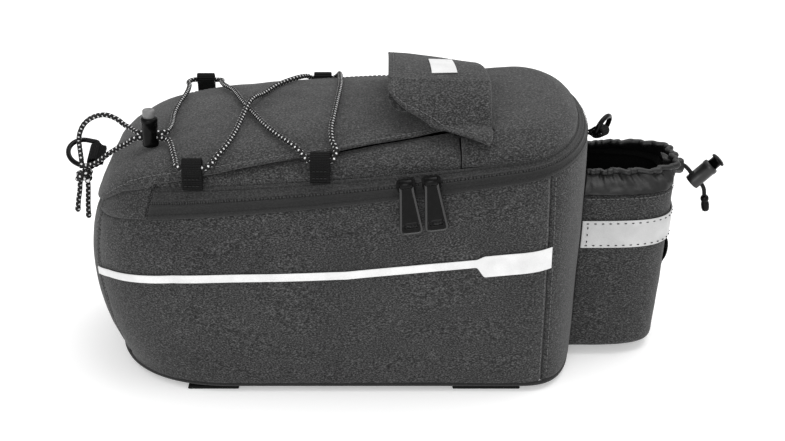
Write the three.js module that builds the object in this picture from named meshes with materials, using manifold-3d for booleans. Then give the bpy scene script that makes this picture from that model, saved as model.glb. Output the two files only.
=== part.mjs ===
// A soft bag for a bicycle's rear rack: a padded body, a domed lid on a zip that runs round the rear,
// a carrying handle, an elastic cord laced over the lid and a bottle pocket on the rear end.
// +X is the rear end, +Z is up, -Y is the near side. Millimetres.
import * as THREE from "three";
import { mergeVertices } from "three/addons/utils/BufferGeometryUtils.js";
import Module from "manifold-3d";

// Clearances
const GAP = 0.3; // between pieces that touch
const LAYER_GAP = 0.8; // between curved layers, whose facets don't line up
const HOLE_CLEARANCE = 0.5; // round a cord in its hole

// Body
const BAG_LENGTH = 307; // front tip to rear face
const BAG_WIDTH = 167;
const FRONT_ROUND = 93.5; // length of the rounded front part
const REAR_ROUND = 44.5; // length of the rounded rear part
const FRONT_RAKE = 13; // how far the front tip draws in at the base
const REAR_RAKE = 7;
const SIDE_TUCK = 2.5; // how far the sides draw in at the base
const TOP_TUCK = 1.5; // how far the walls draw in at the zip
const FRONT_TOP_TUCK = 7;
const BELLY_SHARE = 0.6; // height of the widest level, as a share of the wall
const BASE_ROUND = 6;
const WALL = 4; // padded fabric
const CLOTH = 2; // plain fabric, two layers at its seams
const FRONT_POWER_LOW = 2.35; // how square the front corners are at the base
const FRONT_POWER_HIGH = 3;
const REAR_POWER_LOW = 2.9; // the same for the rear corners
const REAR_POWER_HIGH = 2.15;

// Zip line and lid
const SEAM_HEIGHT = 124; // lower zip seam over the ground at mid length
const SEAM_RISE = 17; // rise from mid length to the rear
const SEAM_BOW = 6.4;
const SEAM_FRONT_DROP = 12;
const BAND_RISE = 13.3; // upper zip seam over the lower one at mid length
const BAND_FALL = 4.9; // how much less it is at the rear
const BAND_INSET = 7.6;
const NOSE_INSET = 3; // extra inset of the lid at the front tip
const BAND_DIP = 40; // degrees that the band leans in at the upper seam, and twice that on the lid
const LID_CROWN = 16.5;
const CROWN_FRONT_FALL = 0.72; // share of the crown that is gone at the front tip
const CROWN_REAR_FALL = 0.6;
const LID_POWER = 2.6;
const LID_SEAM_X = 73; // seam across the lid, in front of the handle's webbing
const ZIP_CLOTH = 1.5;
const COIL_WIDTH = 5;
const COIL_HEIGHT = 0.9;
const UNDERLAP = 7; // how far the lid's sides reach under its top panel
// Depth of the lid's sides under the skin, in layer gaps: at their low edge, its rise and its most
const STRIP_TUCK_START = 0.7;
const STRIP_TUCK_SLOPE = 4.5;
const STRIP_TUCK_FULL = 1.8;

// Straps under the base
const STRAP_THICKNESS = 2.2;
const STRAP_REACH = 156; // length across the base
const STRAP_FRONT_X = -75;
const STRAP_FRONT_WIDTH = 31;
const STRAP_REAR_X = 91;
const STRAP_REAR_WIDTH = 41;

// Side stripe
const STRIPE_CLOTH = 0.8;
const STRIPE_THIN = 5;
const STRIPE_WIDE = 13.5;
const STRIPE_STEP_X = 82;

// Zip sliders and pulls
const SLIDER_LENGTH = 10.8;
const SLIDER_WIDTH = 7.6;
const SLIDER_THICKNESS = 3;
const SLIDER_LEFT_X = 42;
const SLIDER_RIGHT_X = 56.2;
const BAR_RADIUS = 0.8;
const BAR_HEIGHT = 7.6; // bar's axis over the zip tape
const POST_LENGTH = 1.6;
const PULL_LENGTH = 30;
const PULL_TOP = 8;
const PULL_BOTTOM = 13.2;
const PULL_THICKNESS = 1.8;
const PULL_EYE = 0.4; // clearance round the bar
const PULL_LEAN = 4; // degrees out of plumb, where it rests on the slider's edge

// Handle
const HANDLE_X = 79;
const WEBBING_WIDTH = 20;
const WEBBING_THICKNESS = 1.6;
const HANDLE_FOOT = 63; // half the distance between its sewn ends
const HANDLE_SEWN = 7; // length of each end that lies flat
const HANDLE_POWER = 2.4; // how square the arch is
const HANDLE_RISE = 17; // its apex over the lid's crown
const HANDLE_SLIP = 16; // how far its apex lies to the near side, under the wrap's fold
const HANDLE_DROOP = 26; // how much sooner it comes down on the far side, there
const WRAP_FOLD_X = 91.5; // the fold, on the rear side
const WRAP_WIDTH = 60;
const WRAP_CLOTH = 1.6;
const WRAP_REACH = 44; // half its reach along the handle
const WRAP_SKEW = 30; // how much further its upper layer reaches on the near side, at the fold
const WRAP_TRIM = 20; // how much less it reaches on the far side, at the fold
const LABEL_LENGTH = 25;
const LABEL_MIDDLE = -8; // its middle along the handle
const LABEL_WIDTH = 15;
const LABEL_X = 64;
const LABEL_CLOTH = 0.6;

// Lacing loops
const LOOP_CLOTH = 1.1;
const LOOP_WIDTH = 11.5;
const LOOP_LENGTH = 16.6;
const LOOP_BORE = 4.2;
// lean is in degrees from level, up the lid's edge, and lift is what its bulge there needs.
const LOOP_PLACES = [
  { name: "cord_loop_near_1", x: -79.5, side: -1, lean: 52, lift: 2.2 },
  { name: "cord_loop_near_2", x: -7, side: -1, lean: 41, lift: 0.4 },
  { name: "cord_loop_far_1", x: -90, side: 1, lean: 52, lift: 2.8 },
  { name: "cord_loop_far_2", x: -12, side: 1, lean: 41, lift: 0.4 },
];

// Elastic cord, its toggle and the front ring
const CORD_DIAMETER = 3.1;
const CORD_SIDES = 8;
const CORD_STEPS = 88; // at most, on the longest
const TOGGLE_X = -109;
const TOGGLE_Y = -36;
const TOGGLE_RADIUS = 4.8;
const TOGGLE_HEIGHT = 18;
const TOGGLE_SLOT_LOW = 2.8;
const TOGGLE_SLOT_HEIGHT = 7.4; // holds two strands, one over the other
const TOGGLE_SLOT_WIDTH = 4.8;
const BUTTON_RADIUS = 3.6;
const BUTTON_CLEARANCE = 0.35;
const BUTTON_STEM = 3.4; // length inside the barrel
const BUTTON_SHOWS = 4.6;
const BUTTON_TRAVEL = 3.5;
const BUTTON_DISH = 0.8;
const RING_THICKNESS = 3;
const RING_WIRE = 3.2;
const RING_BORE = 4.9; // webbing's loop round the ring's bar
const RING_CLOTH = 1.1;
// bar is the bar's place, its first number from the front tip; from the rear face on the rear ring.
const FRONT_RING = {
  width: 27,
  depth: 19.5,
  tabWidth: 16,
  tabLength: 9.5,
  bar: [3.3, -4, SEAM_HEIGHT],
  barRoll: 18, // degrees, its near end lower
  barYaw: 0,
  lean: 16, // degrees the ring points up from level
};
const REAR_RING = {
  width: 20,
  depth: 14,
  tabWidth: 12,
  tabLength: 10.5,
  bar: [8.8, 0, SEAM_HEIGHT + 14],
  barRoll: -10,
  barYaw: 30,
  lean: 68,
};

// Bottle pocket
const POCKET_HALF = 38;
const POCKET_DEPTH_TOP = 56;
const POCKET_DEPTH_BASE = 55;
const POCKET_BASE = 7;
const POCKET_TOP = 110.5;
const POCKET_POWER = 4;
const POCKET_CLOTH = 2.2;
const COLLAR_HEIGHT = 12.5;
const COLLAR_DRAW = 11; // how far the cord draws the rim in at the sides
const COLLAR_CLOTH = 1.6;
const COLLAR_GATHERS = 11;
const COLLAR_RUFFLE = 0.9;
const POCKET_BAND_LOW = 77;
const POCKET_BAND_HIGH = 95;
const POCKET_BAND_CLOTH = 0.8;
const LIGHT_LOOP_LENGTH = 24;
const LIGHT_LOOP_WIDTH = 20;
const LIGHT_LOOP_BORE = 1.6;
const LIGHT_LOOP_TOP = 74;

// Pocket cord lock
const DRAWCORD_DIAMETER = 2.6;
const TUNNEL_RADIUS = 3.6;
const TUNNEL_LENGTH = 5.5;
const TUNNEL_BACK = 2; // how far behind the cord's start it begins
const TUNNEL_SWELL = 1.15;
const LOCK_RADIUS = 5;
const LOCK_LENGTH = 17;
const LOCK_LEAN = 45; // degrees of its axis from level
const LOCK_PLACE = [223.5, -5, 108.5];
const LOCK_HOLE_AT = 4.4; // the cord's hole over the barrel's foot
const CORD_END_RADIUS = 2.7;
const CORD_END_LENGTH = 11;

// Knot of the elastic cord, under the front ring
const KNOT_PLACE = [-154, -21.8, 114.2];
const KNOT_RADIUS = 4.6;
const KNOT_HEIGHT = 7.6;

// Routes of the cords, chosen by hand
const BUNGEE_ROUTE = [
  [-153.4, -22.3, 123.6],
  [-150.8, -22.8, 124.6],
  [-147.4, -23.6, 125.8],
  [-142.5, -24.8, 129],
  [-137.3, -26, 133.3],
  [-131.1, -28.5, 138],
  [-123.3, -32, 143.2],
  [-119.6, -34.6, 146.6],
  [-115.4, -36, 147.9],
  [-109, -36, 147.7],
  [-103, -36, 147.7],
  [-98.4, -38, 147.5],
  [-95.2, -46, 147],
  [-92.4, -57, 146.2],
  [-90, -66, 145.4],
  [-88.8, -72, 145.4],
  [-86.4, -75, 145.4],
  [-79.5, -75.3, 145.4],
  [-71.6, -75.2, 145.3],
  [-68.4, -72, 146.8],
  [-66.4, -67, 148.5],
  [-62.6, -58, 150.6],
  [-58.8, -41.5, 152.8],
  [-55.8, -18, 155.4],
  [-53.4, -3.5, 158],
  [-50.9, 7, 157.8],
  [-47.4, 18, 155.6],
  [-38.4, 39.5, 154.8],
  [-27, 57, 153.3],
  [-22, 67, 150.6],
  [-18.9, 71.2, 147.9],
  [-12, 71.5, 147.7],
  [-5.1, 71.2, 147.9],
  [-1.6, 67, 151.6],
  [-0.6, 60, 154.9],
  [0.4, 50, 156.9],
  [1.4, 27, 158.8],
  [0.5, -1, 159.3],
  [-0.6, -25, 158.8],
  [-1.6, -46, 157],
  [-0.6, -58, 154.8],
  [1.8, -66.4, 152.2],
  [-0.1, -71.2, 148.3],
  [-7, -71.5, 148.1],
  [-13.9, -71.2, 148.3],
  [-18, -66.6, 151.2],
  [-23.4, -60.4, 153.4],
  [-38.2, -39, 154.9],
  [-49, -14.4, 154.6],
  [-54, -2, 154.2],
  [-59.6, 13, 153.7],
  [-66.6, 34, 152.2],
  [-75.4, 53.6, 149.4],
  [-78.4, 64.6, 147.7],
  [-79, 71.6, 146.2],
  [-81.8, 75.7, 145],
  [-90, 75.8, 145.1],
  [-98.4, 75.8, 145],
  [-101, 71.4, 145.2],
  [-99.4, 62, 145.8],
  [-98.8, 44, 146.8],
  [-100.4, 26, 147],
  [-101, 6, 147],
  [-99.4, -12, 148.2],
  [-98.8, -26, 149.6],
  [-99.6, -33.4, 150.7],
  [-102.8, -36.2, 151.1],
  [-109, -36.2, 151.2],
  [-115.2, -36.2, 151.1],
  [-118.4, -32.6, 150.9],
  [-121.8, -28.2, 151],
  [-126.1, -24, 151.4],
  [-131.4, -20, 153.7],
  [-139.1, -16, 154.8],
  [-147.5, -13, 152],
  [-153.4, -11, 147],
  [-156.8, -9.5, 141],
  [-158.1, -8.9, 136],
  [-157.6, -11, 132.8],
  [-156.2, -16, 129.4],
  [-155, -20.4, 126.6],
  [-154.8, -21.9, 122.5],
];
const TAIL_ROUTES = [
  [
    [-156.6, -21.8, 113.9],
    [-157.6, -21.6, 108],
    [-159.1, -21.5, 101.1],
    [-160.3, -21.5, 93.6],
  ],
  [
    [-152.2, -22, 113.9],
    [-152.6, -22, 106],
    [-153.4, -22, 98],
    [-153.8, -22, 89.6],
  ],
];
const DRAWCORD_ROUTE = [
  [211, -5, 117.4],
  [215, -5, 117.2],
  [218, -5, 114.6],
  [220.5, -5, 111.5],
  [223.5, -5, 108.5],
  [226.5, -5, 105.5],
  [228.8, -5, 101.6],
  [229.6, -5, 97],
];

const HALF_LENGTH = BAG_LENGTH / 2;
const FRONT_CENTRE = -HALF_LENGTH + FRONT_ROUND;
const REAR_CENTRE = HALF_LENGTH - REAR_ROUND;
const BASE_LIFT = STRAP_THICKNESS + GAP;
const WALL_FOOT = BASE_LIFT + BASE_ROUND;
const TOP_RAISE = LAYER_GAP + CLOTH; // the lid's top panel stands this far over its sides
const QUARTER = Math.PI / 2;
const DEGREE = Math.PI / 180;

// Places along the outline: 0 is the front's centre, 1 and 2 end the near side's straight stretch,
// 3 is the rear's centre, 4 and 5 end the far side's and 6 is the front's centre again.
const FRONT_SEAM_S = 0.35;
const GUSSET_S = 0.27;
const REAR_SEAM_S = 2.13;
const ZIP_END_S = 0.65;
const LID_SEAM_S = 1 + (LID_SEAM_X - FRONT_CENTRE) / (REAR_CENTRE - FRONT_CENTRE);
const LID_CORNER_S = 0.35;

// Edge of the lid's top panel: 0 at the lower zip seam, 1 at the upper one, 2 on the lid's centre line.
const TOP_EDGE = [
  { s: 0, t: 0.04 },
  { s: 0.2, t: 0.08 },
  { s: 0.35, t: 0.34 },
  { s: 0.5, t: 0.8 },
  { s: 0.65, t: 1.0 },
  { s: 1, t: 1.05 },
  { s: 1.355, t: 1.15 },
  { s: 1.716, t: 1.32 },
  { s: 2, t: 1.42 },
];

// Centre line of the side stripe, as shares of the seam's height at mid length.
const STRIPE_LINE = [
  { s: 0.27, height: 0.53 },
  { s: 0.45, height: 0.585 },
  { s: 0.75, height: 0.63 },
  { s: 1.15, height: 0.645 },
  { s: 1.4, height: 0.655 },
  { s: 1.7, height: 0.7 },
  { s: 2.13, height: 0.755 },
];

// Small maths
const mix = (a, b, share) => a + (b - a) * share;
const clamp = (value, low, high) => Math.min(high, Math.max(low, value));
const smooth = (share) => share * share * (3 - 2 * share);

function readTable(rows, key, column, at) {
  const last = rows.length - 1;
  if (at <= rows[0][key]) return rows[0][column];
  for (let i = 0; i < last; i++) {
    const here = rows[i];
    const next = rows[i + 1];
    if (at <= next[key]) {
      return mix(here[column], next[column], (at - here[key]) / (next[key] - here[key]));
    }
  }
  return rows[last][column];
}

// Outline of the body seen from above
function wallSize(share) {
  const low = Math.max(0, 1 - share / BELLY_SHARE) ** 2;
  const high = Math.max(0, (share - BELLY_SHARE) / (1 - BELLY_SHARE)) ** 2;
  return {
    front: FRONT_ROUND - FRONT_RAKE * low - FRONT_TOP_TUCK * high,
    rear: REAR_ROUND - REAR_RAKE * (1 - share),
    half: BAG_WIDTH / 2 - SIDE_TUCK * low - TOP_TUCK * high,
    frontPower: mix(FRONT_POWER_LOW, FRONT_POWER_HIGH, share),
    rearPower: mix(REAR_POWER_LOW, REAR_POWER_HIGH, share),
  };
}

function lidSize() {
  const top = wallSize(1);
  return {
    front: top.front - BAND_INSET - NOSE_INSET,
    rear: top.rear - BAND_INSET,
    half: top.half - BAND_INSET,
    frontPower: top.frontPower,
    rearPower: top.rearPower,
  };
}

function roundedReach(angle, along, across, power) {
  const a = Math.abs(Math.cos(angle) / along) ** power;
  const b = Math.abs(Math.sin(angle) / across) ** power;
  return (a + b) ** (-1 / power);
}

function planPoint(place, size) {
  const s = place > 3 ? place - 6 : place;
  const t = Math.abs(s);
  const side = s < 0 ? 1 : -1;
  if (t < 1) {
    const reach = roundedReach(t * QUARTER, size.front, size.half, size.frontPower);
    return new THREE.Vector2(
      FRONT_CENTRE - reach * Math.cos(t * QUARTER),
      side * reach * Math.sin(t * QUARTER),
    );
  }
  if (t < 2) {
    return new THREE.Vector2(mix(FRONT_CENTRE, REAR_CENTRE, t - 1), side * size.half);
  }
  const angle = (3 - t) * QUARTER;
  const reach = roundedReach(angle, size.rear, size.half, size.rearPower);
  return new THREE.Vector2(
    REAR_CENTRE + reach * Math.cos(angle),
    side * reach * Math.sin(angle),
  );
}

function planInward(s, size) {
  const step = 0.01;
  const along = planPoint(s + step, size).sub(planPoint(s - step, size)).normalize();
  return new THREE.Vector2(-along.y, along.x);
}

// The place a given distance further along the outline
function stepAlong(s, distance) {
  const step = 0.005;
  const size = wallSize(1);
  const speed = planPoint(s + step, size).distanceTo(planPoint(s - step, size)) / (2 * step);
  return s + distance / speed;
}

// Heights
function lowerSeamHeight(x) {
  const q = x / HALF_LENGTH;
  const nose = Math.max(0, (FRONT_CENTRE - x) / FRONT_ROUND);
  return SEAM_HEIGHT + SEAM_RISE * q + SEAM_BOW * q * q - SEAM_FRONT_DROP * nose ** 3;
}

function upperSeamHeight(x) {
  return lowerSeamHeight(x) + BAND_RISE - (BAND_FALL * x) / HALF_LENGTH;
}

function crownHeight(x) {
  const q = x / HALF_LENGTH;
  return LID_CROWN * (1 - (q < 0 ? CROWN_FRONT_FALL : CROWN_REAR_FALL) * q * q);
}

function outlineShare(x, y, size) {
  const across = Math.abs(y) / size.half;
  if (x < FRONT_CENTRE) {
    const along = (FRONT_CENTRE - x) / size.front;
    return (along ** size.frontPower + across ** size.frontPower) ** (1 / size.frontPower);
  }
  if (x > REAR_CENTRE) {
    const along = (x - REAR_CENTRE) / size.rear;
    return (along ** size.rearPower + across ** size.rearPower) ** (1 / size.rearPower);
  }
  return across;
}

// Height of the bag's upper skin over a point of the plan
function skinHeight(x, y) {
  const inner = outlineShare(x, y, lidSize());
  if (inner < 1) {
    const bulge = (1 - inner ** LID_POWER) ** (1 / LID_POWER);
    return upperSeamHeight(x) + crownHeight(x) * bulge;
  }
  const outer = Math.min(1, outlineShare(x, y, wallSize(1)));
  const share = (1 - outer) / (1 - outer + inner - 1 + 1e-9);
  return mix(lowerSeamHeight(x), upperSeamHeight(x), share);
}

function skinNormal(x, y) {
  const step = 1.5;
  const steepest = 2;
  const slopeX = (skinHeight(x + step, y) - skinHeight(x - step, y)) / (2 * step);
  const slopeY = (skinHeight(x, y + step) - skinHeight(x, y - step)) / (2 * step);
  const slope = Math.hypot(slopeX, slopeY);
  const keep = slope > steepest ? steepest / slope : 1;
  return new THREE.Vector3(-slopeX * keep, -slopeY * keep, 1).normalize();
}

function onSkin(plan, offset) {
  const point = new THREE.Vector3(plan.x, plan.y, skinHeight(plan.x, plan.y));
  return point.addScaledVector(skinNormal(plan.x, plan.y), offset);
}

// A point of the wall, depth millimetres into it; height runs -1 at the base panel, 0 over the rounded
// base edge and 1 at the lower zip seam.
function wallPoint(s, height, depth) {
  const size = wallSize(Math.max(0, height));
  const inward = planInward(s, size);
  const top = lowerSeamHeight(planPoint(s, wallSize(1)).x);
  const turn = height < 0 ? (1 + height) * QUARTER : QUARTER;
  const inset = BASE_ROUND * (1 - Math.sin(turn)) + depth * Math.sin(turn);
  const lift = BASE_ROUND * (1 - Math.cos(turn)) + depth * Math.cos(turn);
  const plan = planPoint(s, size).addScaledVector(inward, inset);
  const z = height < 0 ? BASE_LIFT + lift : mix(WALL_FOOT, top, height);
  return new THREE.Vector3(plan.x, plan.y, z);
}

// Height share of the wall at a height over the ground
function wallShare(s, z) {
  const top = lowerSeamHeight(planPoint(s, wallSize(1)).x);
  return clamp((z - WALL_FOOT) / (top - WALL_FOOT), 0, 1);
}

// A point of the zip band (t 0 to 1) or of the lid's edge (t over 1), depth millimetres into it
function bandPoint(s, t, depth) {
  const low = planPoint(s, wallSize(1));
  const high = planPoint(s, lidSize());
  const plan = low.clone().lerp(high, Math.min(1, t));
  let z = mix(lowerSeamHeight(low.x), upperSeamHeight(high.x), Math.min(1, t));
  if (t > 1) {
    const centre = new THREE.Vector2(clamp(high.x, FRONT_CENTRE, REAR_CENTRE), 0);
    plan.copy(high).lerp(centre, t - 1);
    z = skinHeight(plan.x, plan.y);
  }
  const dip = t < 1 ? BAND_DIP * t : BAND_DIP * (1 + clamp((t - 1) / 0.4, 0, 1));
  const inward = planInward(s, lidSize());
  plan.addScaledVector(inward, depth * Math.cos(dip * DEGREE));
  return new THREE.Vector3(plan.x, plan.y, z - depth * Math.sin(dip * DEGREE));
}

// Closed bodies
function closedBody(points, faces) {
  let volume = 0;
  for (const [a, b, c] of faces) {
    volume += points[a].dot(points[b].clone().cross(points[c]));
  }
  const turned = volume < 0 ? faces.map(([a, b, c]) => [a, c, b]) : faces;
  const geometry = new THREE.BufferGeometry().setFromPoints(points);
  geometry.setIndex(turned.flat());
  return geometry;
}

// A sheet of cloth: outer(u, v) and inner(u, v) give its two faces, and its edges are closed.
function clothBody(outer, inner, rowsU, rowsV, ring = false) {
  const countU = ring ? rowsU.length - 1 : rowsU.length;
  const countV = rowsV.length;
  const points = [];
  for (const face of [outer, inner]) {
    for (let i = 0; i < countU; i++) {
      for (let j = 0; j < countV; j++) points.push(face(rowsU[i], rowsV[j]));
    }
  }
  const at = (layer, i, j) => (layer * countU + (i % countU)) * countV + j;
  const faces = [];
  const quad = (a, b, c, d) => faces.push([a, b, c], [a, c, d]);
  const spans = ring ? countU : countU - 1;
  for (let i = 0; i < spans; i++) {
    for (let j = 0; j < countV - 1; j++) {
      quad(at(0, i, j), at(0, i + 1, j), at(0, i + 1, j + 1), at(0, i, j + 1));
      quad(at(1, i, j), at(1, i, j + 1), at(1, i + 1, j + 1), at(1, i + 1, j));
    }
    quad(at(0, i, 0), at(1, i, 0), at(1, i + 1, 0), at(0, i + 1, 0));
    const j = countV - 1;
    quad(at(0, i, j), at(0, i + 1, j), at(1, i + 1, j), at(1, i, j));
  }
  if (!ring) {
    for (let j = 0; j < countV - 1; j++) {
      quad(at(0, 0, j), at(0, 0, j + 1), at(1, 0, j + 1), at(1, 0, j));
      const i = countU - 1;
      quad(at(0, i, j), at(1, i, j), at(1, i, j + 1), at(0, i, j + 1));
    }
  }
  return closedBody(points, faces);
}

function steps(from, to, count) {
  return Array.from({ length: count + 1 }, (_, i) => mix(from, to, i / count));
}

// Joins and cuts
const wasm = await Module();
wasm.setup();

function solidOf(geometry) {
  const bare = geometry.clone();
  bare.deleteAttribute("normal");
  bare.deleteAttribute("uv");
  const merged = mergeVertices(bare, 1e-4);
  return new wasm.Manifold(
    new wasm.Mesh({
      numProp: 3,
      vertProperties: merged.attributes.position.array,
      triVerts: new Uint32Array(merged.index.array),
    }),
  );
}

function geometryOf(solid) {
  const mesh = solid.getMesh();
  const geometry = new THREE.BufferGeometry();
  geometry.setAttribute("position", new THREE.BufferAttribute(mesh.vertProperties, 3));
  geometry.setIndex(new THREE.BufferAttribute(mesh.triVerts, 1));
  return geometry;
}

function block(sizeX, sizeY, sizeZ, x = 0, y = 0, z = 0) {
  return new THREE.BoxGeometry(sizeX, sizeY, sizeZ).translate(x, y, z);
}

function extruded(shape, depth, curveSegments = 8) {
  return new THREE.ExtrudeGeometry(shape, { depth, bevelEnabled: false, curveSegments });
}

function roundedOutline(width, height, radius) {
  const x = width / 2;
  const y = height / 2;
  const shape = new THREE.Shape();
  shape.moveTo(x - radius, -y);
  shape.absarc(x - radius, -y + radius, radius, -QUARTER, 0);
  shape.absarc(x - radius, y - radius, radius, 0, QUARTER);
  shape.absarc(-x + radius, y - radius, radius, QUARTER, 2 * QUARTER);
  shape.absarc(-x + radius, -y + radius, radius, 2 * QUARTER, 3 * QUARTER);
  return shape;
}

// A flat loop of webbing: a closed band round a slot, extruded across its width
function webbingLoop(length, bore, cloth, width) {
  const shape = roundedOutline(length, bore + 2 * cloth, bore / 2 + cloth);
  shape.holes.push(roundedOutline(length - 2 * cloth, bore, bore / 2));
  return extruded(shape, width, 2).translate(0, 0, -width / 2);
}

// Colours
const PAINT = {
  fabric: { color: 0x3a3b3e, roughness: 0.9, metalness: 0 },
  lining: { color: 0x303135, roughness: 0.85, metalness: 0 },
  nylon: { color: 0x2b2c30, roughness: 0.45, metalness: 0 },
  webbing: { color: 0x111214, roughness: 0.8, metalness: 0 },
  reflective: { color: 0xc9cacc, roughness: 0.5, metalness: 0 },
  plastic: { color: 0x0c0c0e, roughness: 0.3, metalness: 0 },
  button: { color: 0x9a9b9e, roughness: 0.4, metalness: 0 },
  cord: { color: 0x1a1a1c, roughness: 0.8, metalness: 0 },
};

const bag = new THREE.Group();

function add(name, geometry, paint, parent = bag) {
  const mesh = new THREE.Mesh(geometry, new THREE.MeshStandardMaterial(PAINT[paint]));
  mesh.name = name;
  parent.add(mesh);
  return mesh;
}

// Body panels
const WALL_ROWS = [-1, -0.5, 0, 0.2, 0.45, 0.72, 1];

function wallPanel(name, from, to, count) {
  const columns = steps(stepAlong(from, GAP / 2), stepAlong(to, -GAP / 2), count);
  const geometry = clothBody(
    (s, h) => wallPoint(s, h, 0),
    (s, h) => wallPoint(s, h, WALL),
    columns,
    WALL_ROWS,
  );
  return add(name, geometry, "fabric");
}

function fourSided(near, far, front, rear) {
  return (u, v) => {
    const point = near(u).multiplyScalar(1 - v).addScaledVector(far(u), v);
    point.addScaledVector(front(v), 1 - u).addScaledVector(rear(v), u);
    point.addScaledVector(near(0), -(1 - u) * (1 - v)).addScaledVector(far(0), -(1 - u) * v);
    return point.addScaledVector(near(1), -u * (1 - v)).addScaledVector(far(1), -u * v);
  };
}

function basePanel() {
  const size = wallSize(0);
  const edge = (s) => planPoint(s, size).addScaledVector(planInward(s, size), BASE_ROUND + LAYER_GAP);
  const plan = fourSided(
    (u) => edge(mix(0.5, 2.5, u)),
    (u) => edge(mix(5.5, 3.5, u)),
    (v) => edge(mix(0.5, -0.5, v)),
    (v) => edge(mix(2.5, 3.5, v)),
  );
  const at = (z) => (u, v) => {
    const point = plan(u, v);
    return new THREE.Vector3(point.x, point.y, z);
  };
  const geometry = clothBody(at(BASE_LIFT), at(BASE_LIFT + WALL), steps(0, 1, 16), steps(0, 1, 6));
  return add("base_panel", geometry, "fabric");
}

// Zip band: tape, raised coil, tape
function zipBand() {
  const half = COIL_WIDTH / 2 / Math.hypot(BAND_RISE, BAND_INSET);
  const edge = GAP / Math.hypot(BAND_RISE, BAND_INSET);
  const rows = [edge, 0.5 - half, 0.5, 0.5 + half, 1];
  const raised = (t) => (t === 0.5 ? COIL_HEIGHT : 0);
  const geometry = clothBody(
    (s, t) => bandPoint(s, t, -raised(t)),
    (s, t) => bandPoint(s, t, ZIP_CLOTH),
    steps(stepAlong(ZIP_END_S, GAP), stepAlong(6 - ZIP_END_S, -GAP), 44),
    rows,
  );
  return add("zip_band", geometry, "lining");
}

function topEdge(s) {
  const t = s > 3 ? 6 - s : Math.abs(s);
  return readTable(TOP_EDGE, "s", "t", t);
}

function underlapEdge(s) {
  const edge = topEdge(s);
  return edge + UNDERLAP / (edge < 1 ? Math.hypot(BAND_RISE, BAND_INSET) : BAG_WIDTH / 2);
}

// A cloth strip of the lid's edge between the places from and to
function lidStrip(name, from, to, count, lowEdge) {
  const row = (s, v) => mix(lowEdge, underlapEdge(s), v);
  const tuck = (v) => LAYER_GAP * Math.min(STRIP_TUCK_FULL, STRIP_TUCK_START + STRIP_TUCK_SLOPE * v);
  const geometry = clothBody(
    (s, v) => bandPoint(s, row(s, v), tuck(v)),
    (s, v) => bandPoint(s, row(s, v), tuck(v) + CLOTH),
    steps(from, to, count),
    [0, 0.2, 0.5, 1],
  );
  return add(name, geometry, "fabric");
}

function lidTopPanel() {
  const edge = (s) => {
    const point = bandPoint(s, topEdge(s), 0);
    return new THREE.Vector2(point.x, point.y);
  };
  const rearEdge = (side) => {
    const point = edge(side < 0 ? LID_SEAM_S : 6 - LID_SEAM_S);
    return new THREE.Vector2(LID_SEAM_X - GAP, point.y);
  };
  const near = (u) => edge(mix(LID_CORNER_S, stepAlong(LID_SEAM_S, -GAP), u));
  const far = (u) => edge(mix(6 - LID_CORNER_S, stepAlong(6 - LID_SEAM_S, GAP), u));
  const front = (v) => edge(mix(LID_CORNER_S, -LID_CORNER_S, v));
  const rear = (v) => rearEdge(-1).lerp(rearEdge(1), v);
  const plan = fourSided(near, far, front, rear);
  const columns = [0, 0.025, 0.06, 0.11, ...steps(0.18, 1, 13)];
  const rows = [0, 0.04, 0.1, 0.2, 0.34, 0.5, 0.66, 0.8, 0.9, 0.96, 1];
  const geometry = clothBody(
    (u, v) => onSkin(plan(u, v), TOP_RAISE),
    (u, v) => onSkin(plan(u, v), LAYER_GAP),
    columns,
    rows,
  );
  return add("lid_top_panel", geometry, "fabric");
}

function lidRearPanel() {
  const corner = 2.5;
  const edge = (s) => {
    const point = bandPoint(s, 1 + GAP / BAG_WIDTH, 0);
    return new THREE.Vector2(point.x, point.y);
  };
  const half = lidSize().half - GAP;
  const frontLine = (v) => new THREE.Vector2(LID_SEAM_X + GAP, mix(-half, half, v));
  const start = stepAlong(LID_SEAM_S, GAP);
  const plan = fourSided(
    (u) => edge(mix(start, corner, u)),
    (u) => edge(mix(6 - start, 6 - corner, u)),
    frontLine,
    (v) => edge(mix(corner, 6 - corner, v)),
  );
  const raise = (point) => {
    const share = clamp((1 - outlineShare(point.x, point.y, lidSize())) / 0.3, 0, 1);
    return TOP_RAISE * smooth(share);
  };
  const face = (depth) => (u, v) => {
    const point = plan(u, v);
    return onSkin(point, raise(point) - depth);
  };
  const rows = [0, 0.02, 0.06, 0.13, 0.25, 0.38, 0.5, 0.62, 0.75, 0.87, 0.94, 0.98, 1];
  const columns = [0, 0.14, 0.3, 0.46, 0.6, 0.72, 0.82, 0.9, 0.96, 1];
  const geometry = clothBody(face(0), face(CLOTH), columns, rows);
  return add("lid_rear_panel", geometry, "fabric");
}

// Side stripe with its step from narrow to wide
function sideStripe() {
  const stepS = 1 + (STRIPE_STEP_X - FRONT_CENTRE) / (REAR_CENTRE - FRONT_CENTRE);
  const slant = 0.02;
  const columns = [
    ...steps(stepAlong(FRONT_SEAM_S, GAP), stepS, 20),
    stepS + slant,
    ...steps(stepS + 0.06, stepAlong(REAR_SEAM_S, -GAP), 5),
  ];
  const place = (s, v, depth) => {
    const middle = SEAM_HEIGHT * readTable(STRIPE_LINE, "s", "height", s);
    const wide = s > stepS + slant / 2;
    const top = middle + STRIPE_THIN / 2 + (wide ? (STRIPE_WIDE - STRIPE_THIN) * 0.2 : 0);
    const low = top - (wide ? STRIPE_WIDE : STRIPE_THIN);
    return wallPoint(s, wallShare(s, mix(low, top, v)), depth);
  };
  const geometry = clothBody(
    (s, v) => place(s, v, -LAYER_GAP - STRIPE_CLOTH),
    (s, v) => place(s, v, -LAYER_GAP),
    columns,
    [0, 1],
  );
  return add("side_stripe", geometry, "reflective");
}

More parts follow.
